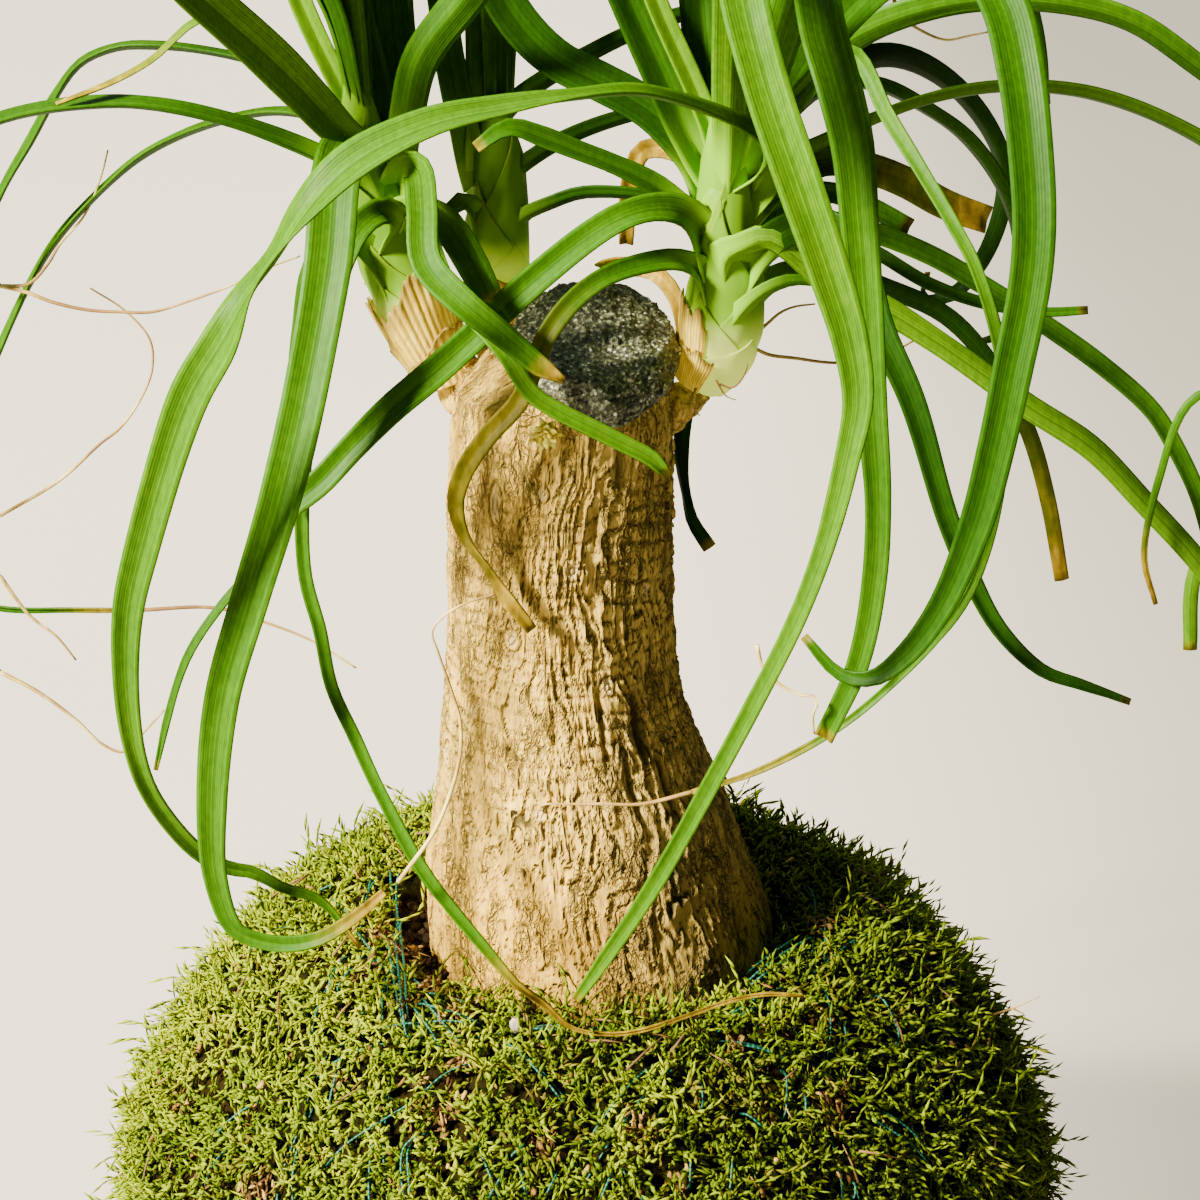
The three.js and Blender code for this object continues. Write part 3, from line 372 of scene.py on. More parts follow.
def bark_relief(angle, z, half_x, half_y):
    """Depth in mm, and the values for cracks (darker inner bark and painted shade), scars and rings, at points of the
    trunk's surface.
    """
    at = np.stack([np.cos(angle) * half_x, np.sin(angle) * half_y, z], axis=1)
    sway = field(at * (0.06, 0.06, 0.016)) + 0.35 * field(at * (0.16, 0.16, 0.045), offset=9) \
        + 0.13 * field(at * (0.45, 0.45, 0.15), offset=4)
    shaded = smooth_step(-0.9, 0.9, np.cos(angle + 0.35) + 0.5 * field(at * 0.03, offset=2))
    rough = 0.34 + 0.66 * shaded
    skins = (field(at * (0.18, 0.18, 0.07), offset=3) + 0.5 * shaded - 0.12,
             field(at * (0.32, 0.32, 0.11), offset=6) + 0.35 * shaded - 0.05,
             field(at * (0.5, 0.5, 0.2), offset=8) + 0.1)
    wide, wide_drop = flake(angle, 58, 3.0 * sway, 0.0, skins[0])
    mid, mid_drop = flake(angle, 101, 5.0 * sway, 0.4, skins[1])
    thin, thin_drop = flake(angle, 131, 6.8 * sway, 0.7, skins[2])
    rings = np.sin(z * 0.78 + 2.6 * field(at * (0.04, 0.04, 0.06), offset=5)) ** 8
    rings *= smooth_step(195, 235, z) * (1 - 0.6 * smooth_step(290, 306, z))
    rings *= 0.45 + 0.55 * smooth_step(-0.35, 0.35, field(at * (0.09, 0.09, 0.05), offset=21))
    steps = field(at * (0.12, 0.12, 0.75), offset=12)
    scar, wave, cleft = np.zeros((3, len(angle)))
    for bearing, scar_z, half_wide, half_high in SCARS:
        turn = np.angle(np.exp(1j * (angle - math.radians(bearing))))
        from_scar = np.hypot(turn * half_x / half_wide, (z - scar_z) / half_high)
        scar = np.maximum(scar, 1 - smooth_step(0.55, 1.0, from_scar))
        wave += (1 - smooth_step(1.2, 1.9, from_scar)) * np.cos(from_scar * 7.5)
    for bearing, cleft_z, half_wide, half_high, deep in CLEFTS:
        turn = np.angle(np.exp(1j * (angle - math.radians(bearing)))) + 0.02 * sway
        cleft = np.maximum(cleft, deep * np.exp(-(turn * half_x / half_wide) ** 2 - ((z - cleft_z) / half_high) ** 4))
    calm = (1 - 0.9 * smooth_step(0.1, 0.8, scar)) * (0.6 + 0.4 * smooth_step(165, 190, z))
    depth = calm * rough * (1.1 * wide + 0.8 * mid + 0.5 * thin) - 0.9 * rough
    depth += 0.6 * field(at, 0.07, 13) - 0.22 * rings * (1 - scar) + 0.16 * steps + 0.32 * wave + 0.3 * scar
    depth += 0.2 * field(at * (1.2, 1.2, 0.35), offset=17) - cleft
    # cracks to be darkened: darker inner bark and painted shade in the drops of the teeth, the deep gaps and round
    # the scars
    crack_and_shade = calm * (0.3 + rough) * np.maximum(np.maximum(wide_drop, 0.85 * mid_drop), 0.6 * thin_drop) + 0.5 * cleft
    crack_and_shade = np.maximum(crack_and_shade, 0.7 * smooth_step(0.45, 0.95, -wave))
    return depth, np.clip(crack_and_shade, 0, 1), scar, rings


def bark_mesh(name, heights, tuck):
    """One length of the trunk; tuck gives how far each row is drawn in under its neighbour."""
    mesh = mesh_of(rolled_grid(heights, BARK_SIDES), name)
    grid = points_of(mesh)
    angle = np.arctan2(grid[:, 1], grid[:, 0])
    height = grid[:, 2]
    middle_x, half_x, half_y = trunk_at(height)
    depth, crack_and_shade, scar, ring = bark_relief(angle, height, half_x, half_y)
    depth *= smooth_step(117, 150, height) * (1 - smooth_step(327.4, 328.5, height))
    depth -= tuck(height)
    out = np.where(np.hypot(grid[:, 0], grid[:, 1]) > 0.5, 1.0, 0.0)
    x = middle_x + out * (half_x + depth) * np.cos(angle)
    y = TRUNK_Y + out * (half_y + depth) * np.sin(angle)
    move_points(mesh, np.stack([x, y, height + out * top_rise(height, angle)], axis=1) * MM)
    # painted shade on the side away from the light, fading higher up
    painted_shade = smooth_step(-0.1, 0.9, np.cos(angle + 0.25)) * (1 - 0.45 * smooth_step(170, 260, height))
    for layer, values in zip(BARK_LAYERS, (crack_and_shade, scar, ring, painted_shade, 1 - smooth_step(178, 222, height))):
        add_attribute(mesh, layer, values)
    print(name, "relief from", round(float(depth.min()), 2), "to", round(float(depth.max()), 2), "mm")
    return mesh


BARK_SEAM = 243
lower_heights = np.concatenate([[117.9], np.linspace(118, 158, 7)[:-1],
                                np.linspace(158, BARK_SEAM + 1, 136), [BARK_SEAM + 1.1]])
upper_heights = np.concatenate([[BARK_SEAM - 1.1], np.linspace(BARK_SEAM - 1, 328.5, 138), [328.6]])
lower_mesh = bark_mesh("lower_bark", lower_heights, lambda z: 0.5 * smooth_step(BARK_SEAM, BARK_SEAM + 1, z))
upper_mesh = bark_mesh("upper_bark", upper_heights, lambda z: 0.5 * (1 - smooth_step(BARK_SEAM - 1, BARK_SEAM, z)))

# %% [markdown]
# Dry bark is tan on its ridges and almost cream on the scars. It is almost black in its cracks, which is darker
# inner bark and painted shade in the recesses. The relief gives the large cracks. A group adds the fine ones: the
# edges of tall narrow cells, wavy and broken off in places. On the rings its finest cracks gather to rows of
# ticks. The side away from the light gets a dark, greenish painted shade, and the foot of the trunk, which stands
# in the moss, is a little warmer and darker than the rest.

# %% The bark's finish
def crack_group():
    """A group that gives thin wavy cracks, 1 in a crack, between cells of a given scale."""
    tree = bpy.data.node_groups.new("bark_cracks", "ShaderNodeTree")
    for name in ("Scale", "Width", "Reach"):
        tree.interface.new_socket(name, in_out="INPUT", socket_type="NodeSocketFloat")
    tree.interface.new_socket("Crack", in_out="OUTPUT", socket_type="NodeSocketFloat")
    start = tree.nodes.new("NodeGroupInput")
    end = tree.nodes.new("NodeGroupOutput")
    place = add_node(tree, "ShaderNodeTexCoord").outputs["Object"]
    waver = add_node(tree, "ShaderNodeTexNoise", {"Vector": place, "Scale": 260.0, "Detail": 3.0}).outputs["Color"]
    bent = add_node(tree, "ShaderNodeVectorMath", {0: waver, "Scale": 0.0035}, operation="SCALE").outputs[0]
    moved = add_node(tree, "ShaderNodeVectorMath", {0: place, 1: bent}, operation="ADD").outputs[0]
    tall = add_node(tree, "ShaderNodeMapping", {"Vector": moved, "Scale": (1, 1, 0.3)}).outputs["Vector"]
    edge = add_node(tree, "ShaderNodeTexVoronoi", {"Vector": tall, "Scale": start.outputs["Scale"]},
                    feature="DISTANCE_TO_EDGE").outputs["Distance"]
    line = remap(tree, edge, 0.0, start.outputs["Width"], 1.0, 0.0)
    spread = add_node(tree, "ShaderNodeTexNoise", {"Vector": tall, "Scale": 190.0, "Detail": 2.0}).outputs["Fac"]
    full = arithmetic(tree, "ADD", start.outputs["Reach"], 0.12)
    kept = remap(tree, spread, start.outputs["Reach"], full, 0.0, 1.0)
    tree.links.new(scaled(tree, line, kept), end.inputs["Crack"])
    return tree


def cracks_of(tree, scale, width, reach):
    sizes = {"Scale": scale, "Width": width, "Reach": reach}
    return add_node(tree, "ShaderNodeGroup", sizes, node_tree=cracks).outputs[0]


cracks = crack_group()
bark_paint, tree, shader = new_material("dry_bark", roughness=0.85, Specular_IOR_Level=0.2)
fibres = object_noise(tree, 900, (1, 1, 0.16), detail=5.0, roughness=0.7)
blotches = object_noise(tree, 34, (1, 1, 0.8), detail=5.0)
ground = ramp(tree, fibres, (0.27, (0.31, 0.190, 0.027)), (0.46, (0.72, 0.455, 0.066)), (0.66, (1.0, 0.71, 0.140)))
tinted = mix(tree, ramp(tree, blotches, (0.50, grey(0)), (0.72, grey(0.8))), ground,
             mix(tree, 0.55, ground, (0.16, 0.125, 0.035)))
warmed = mix(tree, scaled(tree, attribute(tree, "foot"), 0.9), tinted,
             mix(tree, 1.0, tinted, (0.86, 0.77, 0.45), "MULTIPLY"))
# painted shade, dark and greenish, on the side away from the light
with_painted_shade = mix(tree, scaled(tree, attribute(tree, "painted_shade"), 0.52), warmed, (0.075, 0.090, 0.042))
lined = mix(tree, scaled(tree, attribute(tree, "ring"), 0.22), with_painted_shade, (0.18, 0.11, 0.03))
# mask of the near-black cracks: darker inner bark and painted shade in the recesses
crack_shade_mask = cracks_of(tree, 330.0, 0.11, 0.51)
fine_cracks = scaled(tree, cracks_of(tree, 760.0, 0.14, 0.46), 0.75)
ticks = scaled(tree, cracks_of(tree, 900.0, 0.18, 0.32), attribute(tree, "ring"))
for more in (fine_cracks, attribute(tree, "crack_and_shade"), ticks):
    crack_shade_mask = arithmetic(tree, "MAXIMUM", crack_shade_mask, more)
crack_shaded = mix(tree, scaled(tree, crack_shade_mask, 0.9), lined, (0.016, 0.016, 0.004))
scarred = mix(tree, scaled(tree, attribute(tree, "scar"), 0.65), crack_shaded, (0.90, 0.68, 0.28))
paint(tree, shader, scarred)
bump(tree, shader, arithmetic(tree, "SUBTRACT", scaled(tree, fibres, 0.7), crack_shade_mask), 1.0, 0.0011)
finish_piece("trunk_bark_lower", lower_mesh, bark_paint, "bark", "trunk")
finish_piece("trunk_bark_upper", upper_mesh, bark_paint, "bark", "trunk")

# %% [markdown]
# Short woody stubs leave the top of the trunk and carry the shoots. Each is a tube along a straight line,
# made from a rolled grid. The same helper makes every round thing that follows a path: the thread, the
# needles, the rootlets and the dry leaf ends.

# %% Tubes along a path
def add_tube(bm, path, radii, sides=6, **layers):
    """Adds a closed tube through the path's points, given in mm, and returns its points."""
    path = np.asarray(path, dtype=float)
    rows = len(path)
    radii = np.broadcast_to(np.asarray(radii, dtype=float), rows)
    along = np.gradient(path, axis=0)
    along /= np.linalg.norm(along, axis=1, keepdims=True)
    side = np.cross(along, (0.31, 0.85, 0.42))
    for i in range(rows):
        if i:
            side[i] = side[i - 1] - along[i] * side[i - 1].dot(along[i])
        side[i] /= np.linalg.norm(side[i])
    across = np.cross(along, side)
    made = bmesh.ops.create_grid(bm, x_segments=sides, y_segments=rows - 1, size=1)["verts"]
    for vert in made:
        i = round((vert.co.y + 1) / 2 * (rows - 1))
        spin = (vert.co.x + 1) * math.pi
        vert.co = path[i] + radii[i] * (math.cos(spin) * side[i] + math.sin(spin) * across[i])
        for layer, value in layers.items():
            vert[bm.verts.layers.float[layer]] = value if np.isscalar(value) else value[i]
    bmesh.ops.remove_doubles(bm, verts=made, dist=1e-5)
    made = [vert for vert in made if vert.is_valid]
    rim = {edge for vert in made for edge in vert.link_edges if edge.is_boundary}
    bmesh.ops.holes_fill(bm, edges=list(rim), sides=0)
    bmesh.ops.recalc_face_normals(bm, faces=list({face for vert in made for face in vert.link_faces}))
    return made


def metre_mesh(bm, name):
    """The mesh of what was built in mm."""
    bmesh.ops.scale(bm, verts=bm.verts, vec=(MM, MM, MM))
    return mesh_of(bm, name)


def layered_bmesh(layers):
    bm = bmesh.new()
    for layer in layers:
        bm.verts.layers.float.new(layer)
    return bm


STUBS = [  # from, to, radius at each end
    ((-20, -3, 306), (-35.5, -1, 323), 7.5, 4.8), ((-13, 6, 305), (-21.5, 20, 329), 9, 6),
    ((12, -5, 306), (28.5, -5, 316.5), 5.5, 3.2),
]
bm = layered_bmesh(BARK_LAYERS)
for start, end, wide, narrow in STUBS:
    steps = np.linspace(0, 1, 30)[:, None]
    path = np.array(start) * (1 - steps) + np.array(end) * steps
    add_tube(bm, path, wide + (narrow - wide) * steps[:, 0] + 1.5 * np.sin(steps[:, 0] * math.pi) ** 2, 48)
for vert in bm.verts:
    wander = noise.noise(vert.co * 0.28)
    vert.co += vert.normal * (0.7 * wander + 0.3 * noise.noise(vert.co * 0.9))
    # dark lines along the stubs: cracks with painted shade
    vert[bm.verts.layers.float["crack_and_shade"]] = max(0.0, 1 - abs(wander) / 0.12) * 0.7
finish_piece("woody_stubs", metre_mesh(bm, "stubs"), bark_paint, "bark", "trunk")

# %% [markdown]
# ## The wax on the cut
# The top of the trunk was sawn off and sealed with dark, tarry wax that has set in lumps and holds grit.
# It is a low dome with a wavy lower edge. Coarse and fine noise push its points in and out. Its pale specks and
# palest grain are grit and painted glints.

# %% The wax seal
WAX_X = 1.7
WAX_RUN = 1.2      # how far its edge has run down the front
WAX_ROWS = np.array([  # z, half width x, half width y
    (321.5, 1e-3, 1e-3), (322.5, 19.5, 27.4), (324.5, 20.6, 28.4), (328.5, 20.4, 27.6), (332, 18.8, 25.6),
    (334.5, 14, 19), (335.5, 7, 9), (335.8, 1e-3, 1e-3),
])
WAX_STEPS, WAX_SIDES = 100, 170
steps = np.linspace(0, len(WAX_ROWS) - 1, WAX_STEPS)
wax_mesh = mesh_of(rolled_grid(steps, WAX_SIDES), "wax")
grid = points_of(wax_mesh)
angle = np.arctan2(grid[:, 1], grid[:, 0])
z, half_x, half_y = (np.interp(grid[:, 2], range(len(WAX_ROWS)), WAX_ROWS[:, k]) for k in range(3))
run = WAX_RUN * np.maximum(0, np.cos(angle + math.pi * 0.42)) ** 1.5 - 0.8 * np.sin(6 * angle)
z = z + TOP_TILT * np.sin(angle) * smooth_step(0, 15, half_x) - run * (1 - smooth_step(1.6, 3.2, grid[:, 2]))
wax_points = np.stack([WAX_X + half_x * np.cos(angle), TRUNK_Y + half_y * np.sin(angle), z], axis=1)
outward = wax_points - np.array([WAX_X, TRUNK_Y, 316])
outward /= np.linalg.norm(outward, axis=1, keepdims=True)
lumps = field(wax_points, 0.09) * 1.4 + field(wax_points, 0.33, 4.0) * 0.9
grit = field(wax_points, 1.0, 8.0)
wax_points += outward * (lumps + 0.55 * grit + 0.3 * field(wax_points, 2.1, 2.0))[:, None]
move_points(wax_mesh, wax_points * MM)

wax_paint, tree, shader = new_material("tarry_wax", roughness=0.45)
grain = object_noise(tree, 900, detail=4.0, roughness=0.7)
# pale specks: grit in the wax and painted glints
grit_and_glint_cells = add_node(tree, "ShaderNodeTexVoronoi",
                  {"Vector": add_node(tree, "ShaderNodeTexCoord").outputs["Object"], "Scale": 620.0})
grit_and_glint = ramp(tree, grit_and_glint_cells.outputs["Distance"], (0.16, grey(1)), (0.3, grey(0)))
chosen = ramp(tree, grit_and_glint_cells.outputs["Color"], (0.52, grey(0)), (0.6, grey(1)))
# the palest grain is paler grit and painted highlight
colour = ramp(tree, grain, (0.38, (0.005, 0.005, 0.002)), (0.52, (0.050, 0.057, 0.018)), (0.64, (0.38, 0.40, 0.21)))
colour = mix(tree, mix(tree, 1.0, grit_and_glint, chosen, "MULTIPLY"), colour, (0.75, 0.72, 0.58))
paint(tree, shader, colour)
tree.links.new(ramp(tree, grain, (0.3, grey(0.22)), (0.7, grey(0.6))), shader.inputs["Roughness"])
bump(tree, shader, grain, 0.8, 0.0008)
finish_piece("wax_seal_lumps", wax_mesh, wax_paint, "wax", "wax_seal")

# %% [markdown]
# ## The bud
# A dormant bud sits on the front of the trunk, just under the wax: a small rosette of dry pointed scales.
# Each scale is a cone with few sides, flattened and leaning out, and the rows turn against each other.

# %% The bud
BUD_AT = (-9.5, -35.5, 316)
bm = bmesh.new()
bmesh.ops.create_icosphere(bm, subdivisions=3, radius=2.4, matrix=Matrix.Translation(BUD_AT))
for row, (count, lean, length) in enumerate([(7, 62, 4.8), (7, 40, 4.8), (5, 20, 4.2), (1, 0, 3.6)]):
    for k in range(count):
        place = (Matrix.Translation(BUD_AT) @ Matrix.Rotation(math.radians(90), 4, "X")
                 @ Matrix.Rotation((k + 0.5 * row) / count * 2 * math.pi, 4, "Z")
                 @ Matrix.Rotation(math.radians(lean), 4, "Y") @ Matrix.Diagonal((0.45, 1, 1, 1))
                 @ Matrix.Translation((0, 0, length / 2)))
        bmesh.ops.create_cone(bm, cap_ends=True, segments=10, radius1=2.1, radius2=0.3, depth=length, matrix=place)
bmesh.ops.subdivide_edges(bm, edges=bm.edges, cuts=1, use_grid_fill=True)
bud_paint = mottled_material("bud_scales", 0.7, {"scale": 900, "detail": 4.0}, (
    (0.3, (0.36, 0.20, 0.012)), (0.5, (0.80, 0.66, 0.035)), (0.7, (0.95, 0.90, 0.22))), (0.5, 0.0004))
finish_piece("bud_scales", metre_mesh(bm, "bud"), bud_paint, "bud", "trunk_bud")

# %% [markdown]
# ## The leaves
# Three shoots carry long strap leaves with parallel veins, like grass leaves: folded along the middle, pale
# at the foot and drawn out to dry threads at some tips. Each entry below is one leaf. Its points say where a
# viewer sees it, how deep it lies (y), how wide it is and, where it does, how far it turns its edge to the
# viewer. Its first words are a name, a tone from lime (0) to dark green (1), the kind of tip and its fold.

# %% The leaves that the photograph shows
LEFT = {
    "axis": [
        (-34, -2, 317, 5), (-37.5, -1, 326, 6.5), (-42, -1, 337, 7.6), (-46, 0, 348, 8), (-50, 0, 363, 7.4),
        (-53, 0, 378, 5.5), (-54.5, 0, 391, 2.5),
    ],
    "seen": [
        # broad_outer: its lime tone is painted light, since its face here lies in shade
        ("broad_outer", 0.08, "thread", 0.55, [
            (-57, 108, 0, 8), (-64, 116, -6, 9), (-80, 133, -20, 11), (-101, 152, -38, 11, 10),
            (-127, 176, -52, 11, 20), (-160, 186, -62, 10, 30), (-190, 168, -66, 9, 40), (-207, 120, -64, 8, 30),
            (-206, 60, -56, 6.5, 20), (-190, 8, -46, 4, 10), (-165, -12, -38, 2.2), (-150, -18, -34, 1.2)]),
        ("young", 0.05, "point", 0.45, [
            (-57, 108, 0, 5), (-60, 118, 0, 5.5), (-75, 150, 2, 5.5), (-86, 185, 4, 5), (-97, 216, 6, 3),
            (-104, 238, 8, 1)]),
        ("tall_arch", 0.38, "thread", 0.45, [
            (-56, 104, 4, 8), (-55, 116, 5, 10), (-63, 150, 8, 11), (-72, 190, 14, 10.5, 10), (-84, 222, 24, 9.5, 30),
            (-108, 243, 38, 8.5, 45), (-138, 238, 52, 7.5, 50), (-166, 205, 60, 6.5, 50), (-182, 158, 62, 5.5, 50),
            (-181, 112, 58, 4, 50), (-168, 88, 52, 2.6, 40), (-150, 78.5, 46, 1.6, 30)]),
        ("tall_back", 0.5, "point", 0.4, [
            (-54, 104, 8, 8), (-50, 118, 9, 10), (-52, 150, 14, 10.5), (-55, 195, 26, 10), (-62, 230, 44, 8, 10),
            (-72, 248, 66, 5.5, 10), (-84, 252, 88, 2.5, 10)]),
        ("inner_right", 0.45, "point", 0.5, [
            (-53, 102, -2, 8), (-49, 118, -3, 8.5), (-45, 135, -5, 9), (-34, 150, -8, 9.5, 10),
            (-16, 172, -14, 9, 20), (8, 190, -24, 7.5, 30), (36, 198, -38, 5.5, 40), (62, 190, -52, 2.5, 40)]),
        ("low_arch", 0.5, "thread", 0.5, [
            (-56, 101, -4, 7, 30), (-67, 109, -6, 8, 45), (-80, 115, -7, 8.5, 55), (-95, 120, -9, 8.5, 60),
            (-112, 123.5, -11, 8.5, 62), (-125, 124, -12, 8.5, 62), (-150, 120, -15, 8, 60), (-176, 106, -19, 7, 60),
            (-194, 80, -22, 6, 60), (-197, 50, -24, 4.5, 50), (-184, 25, -24, 3, 40), (-165, 10, -24, 1.8, 30),
            (-150, 6, -24, 1.2, 20)]),
        ("side_one", 0.4, "thread", 0.45, [
            (-57, 106, 5, 6, 40), (-69, 119, 14, 7, 65), (-80, 122, 22, 7, 70), (-97, 119, 32, 7, 70),
            (-112, 112.5, 40, 7, 70), (-122, 105, 45, 6.5, 70), (-135, 91, 50, 6, 68), (-142, 80, 52, 5.5, 65),
            (-150, 62.5, 55, 5, 60), (-157, 44, 56, 4, 55), (-160, 30, 56, 2.4, 50), (-150, 21, 54, 1.2, 40)]),
        ("side_two", 0.5, "thread", 0.45, [
            (-58, 110, 7, 6, 40), (-75, 129, 16, 7, 68), (-85, 134, 20, 7, 70), (-100, 137.5, 26, 7, 72),
            (-112, 138.5, 30, 7, 72), (-121, 138, 33, 6.5, 70), (-130, 134, 36, 6.5, 66), (-136, 126, 38, 6, 62),
            (-142, 115, 39, 6, 60), (-150, 101, 40, 5.5, 60), (-161, 70, 40, 5, 60), (-169, 40, 38, 4.5, 60),
            (-170, 16, 34, 4, 60), (-162, 2, 28, 3, 60), (-150, -2, 24, 2.2, 50), (-132, -2.5, 18, 1.8, 40),
            (-115, -2.5, 14, 1.2, 40)]),
        ("yellowing", 0.15, "dry", 0.3, [
            (-58, 108, 3, 4, 40), (-78, 133, 2, 4, 60), (-90, 144, 0, 3.5, 60), (-100, 145, -3, 3, 50),
            (-112, 135, -7, 2.4, 40), (-122, 129.5, -10, 2, 40), (-136, 124, -14, 1.2, 40)]),
        ("front", 0.35, "thread", 0.35, [
            (-53, 94, -2, 9), (-58, 108, -10, 11), (-63, 115, -22, 11.5), (-66, 106, -34, 11.5), (-68, 84, -44, 11.5),
            (-74, 50, -56, 10.5, 5), (-80, 25, -62, 10, 5), (-87.5, 0, -66, 9.5, 5), (-94.5, -25, -68, 8.5, 5),
            (-97, -52, -70, 7.5, 5), (-96, -70, -70, 6, 5), (-91.5, -82, -70, 5, 20), (-87, -84.5, -70, 4.5, 45),
            (-79, -86, -71, 4), (-70, -84.5, -72, 3.5), (-61, -79, -73, 3), (-54, -73, -74, 2)]),
        ("long_front", 0.38, "ribbon", 0.45, [
            (-50, 87, -3, 8), (-50, 94, -12, 8, 10), (-54, 97, -19, 7.5, 20), (-60, 93, -26, 7, 20),
            (-66, 80, -33, 6, 10), (-70, 60, -38, 5), (-74, 35, -42, 4), (-74.5, 18, -44, 3.5), (-73.5, 5, -46, 3.3),
            (-70, -7.5, -48, 3.2), (-67, -22, -51, 3.2), (-61, -35, -54, 3.2), (-55, -48, -58, 3.2),
            (-44, -68, -66, 3.2), (-28, -88, -73, 2.8), (-21, -96, -75, 2), (-14, -101, -72, 1.7),
            (-7, -107, -71, 1.4, 20), (3, -108.5, -70.5, 1.3, 40), (11, -107.5, -70.5, 1.3, 20),
            (23, -103.5, -70.5, 1.2), (33, -100, -70.5, 1.1, 20), (42, -98.5, -70.5, 1, 40),
            (51, -99, -71, 0.6, 40)]),
        ("side_thin", 0.45, "point", 0.4, [
            (-49, 78, -2, 9), (-55, 85, -7, 8), (-63, 90, -12, 7.5, 20), (-71, 84, -16, 7, 40), (-75, 66, -19, 6, 50),
            (-77, 45, -21, 5, 50), (-81, 24, -22, 4.2, 40), (-87, 7, -23, 3.4, 40), (-93.5, 0, -23, 3, 40),
            (-103, -14, -24, 2.6, 30), (-108.5, -31, -25, 2, 20), (-111, -42.5, -26, 1)]),
        ("short_brown_tip", 0.32, "brown", 0.4, [
            (-53, 98, -2, 7), (-49, 108, -12, 7.5), (-45.5, 107, -22, 7.5), (-44.5, 98, -32, 7.5),
            (-43.5, 84.5, -41, 7.5), (-35, 75, -47, 7), (-24, 66, -50, 6), (-15, 58.5, -52, 5), (-9, 55, -53, 1.6)]),
        ("short_pale_tip", 0.24, "point", 0.4, [
            (-52, 94, -2, 6), (-47, 98, -12, 6), (-43.5, 91, -22, 5.5), (-39, 80, -31, 5), (-31, 70, -38, 4.5),
            (-24, 62, -43, 4.2), (-17, 51.5, -47, 4.2), (-11, 47.5, -48, 4.2), (-4, 44, -48, 4.2),
            (5, 39.5, -47, 4.2), (13.5, 35, -46, 4), (17, 31, -45, 2.4)]),
        ("short_cut", 0.45, "cut", 0.4, [
            (-50, 92, 0, 7), (-44, 97, -8, 7.5), (-38.5, 94, -14, 8), (-32, 84, -18, 8), (-27, 74, -20, 7)]),
        ("back", 0.6, "point", 0.4, [
            (-54, 100, 5, 8), (-55, 120, 22, 8.5), (-56, 131, 50, 8), (-56, 127, 82, 7), (-54, 112, 108, 5.5),
            (-53, 93, 124, 2.5)]),
    ],
    "crown": [
        (150, 92, 168, 230, 8), (172, 78, 186, 250, 9), (196, 96, 170, 290, 8.5), (219, 84, 178, 210, 8),
        (238, 100, 110, 34, 8), (128, 88, 150, 68, 8), (108, 104, 118, 74, 8),
    ],
}
BACK = {
    "axis": [
        (-21, 17.5, 326, 6), (-21.5, 20.5, 338, 7.2), (-21.5, 21.5, 352, 7), (-21.5, 22, 368, 5.8),
        (-21.5, 22, 382, 2.5),
    ],
    "seen": [
        ("spoke_one", 0.62, "point", 0.4, [
            (-27, 86, 20, 6), (-23, 93, 18, 5, 10), (-18.5, 96.5, 17, 4, 30), (-13, 99, 16, 4, 40),
            (-6, 101.5, 15, 4, 40), (0, 102, 14, 4, 45), (9, 101.5, 13, 3.6, 45), (15, 100.5, 13, 2, 45)]),
        ("spoke_two", 0.58, "point", 0.4, [
            (-28, 92, 20, 6), (-26, 100, 19, 5.5, 10), (-23, 105.5, 19, 5, 20), (-17, 110.5, 19, 4.6, 30),
            (-7.5, 116, 20, 4.6, 35), (5, 120.5, 20, 4.4, 40), (17.5, 123, 20, 2.5, 40)]),
        ("spoke_three", 0.6, "point", 0.4, [
            (-29, 108, 22, 6), (-26.5, 118, 22, 5.5, 10), (-21, 125, 24, 5.2, 20), (-14, 130, 26, 5, 30),
            (5, 140.5, 32, 4.6, 30), (19, 146, 37, 4.2, 30), (35, 149, 43, 3.6, 30), (52, 146, 50, 1.6, 30)]),
        ("tall", 0.45, "point", 0.4, [
            (-29, 108, 22, 7), (-29.5, 125, 23, 8), (-30, 150, 26, 8), (-32, 180, 34, 7.5), (-36, 206, 48, 6.5),
            (-42, 222, 66, 5), (-48, 226, 86, 2)]),
        ("kinked", 0.85, "point", 0.4, [
            (-28, 88, 19, 6), (-31, 97, 15, 5.5), (-35, 99.5, 12, 5, 20), (-39, 95.5, 10, 3, 20)]),
        ("back", 0.6, "point", 0.4, [
            (-29, 96, 23, 7), (-29, 112, 38, 7.5), (-30, 120, 62, 7), (-29, 112, 88, 6), (-28, 94, 104, 2.5)]),
        ("left_leaning", 0.5, "point", 0.4, [
            (-30, 104, 20, 7), (-34, 118, 20, 7.5), (-37.5, 135, 22, 7.5), (-40, 152, 26, 7), (-46, 176, 36, 6, 20),
            (-58, 196, 50, 4.5, 30), (-74, 204, 66, 2, 30)]),
    ],
    "crown": [
        (66, 90, 138, 66, 8.5), (80, 112, 104, 74, 8), (94, 94, 140, 76, 8.5), (74, 128, 62, 24, 7),
        (104, 120, 84, 60, 7.5),
    ],
}
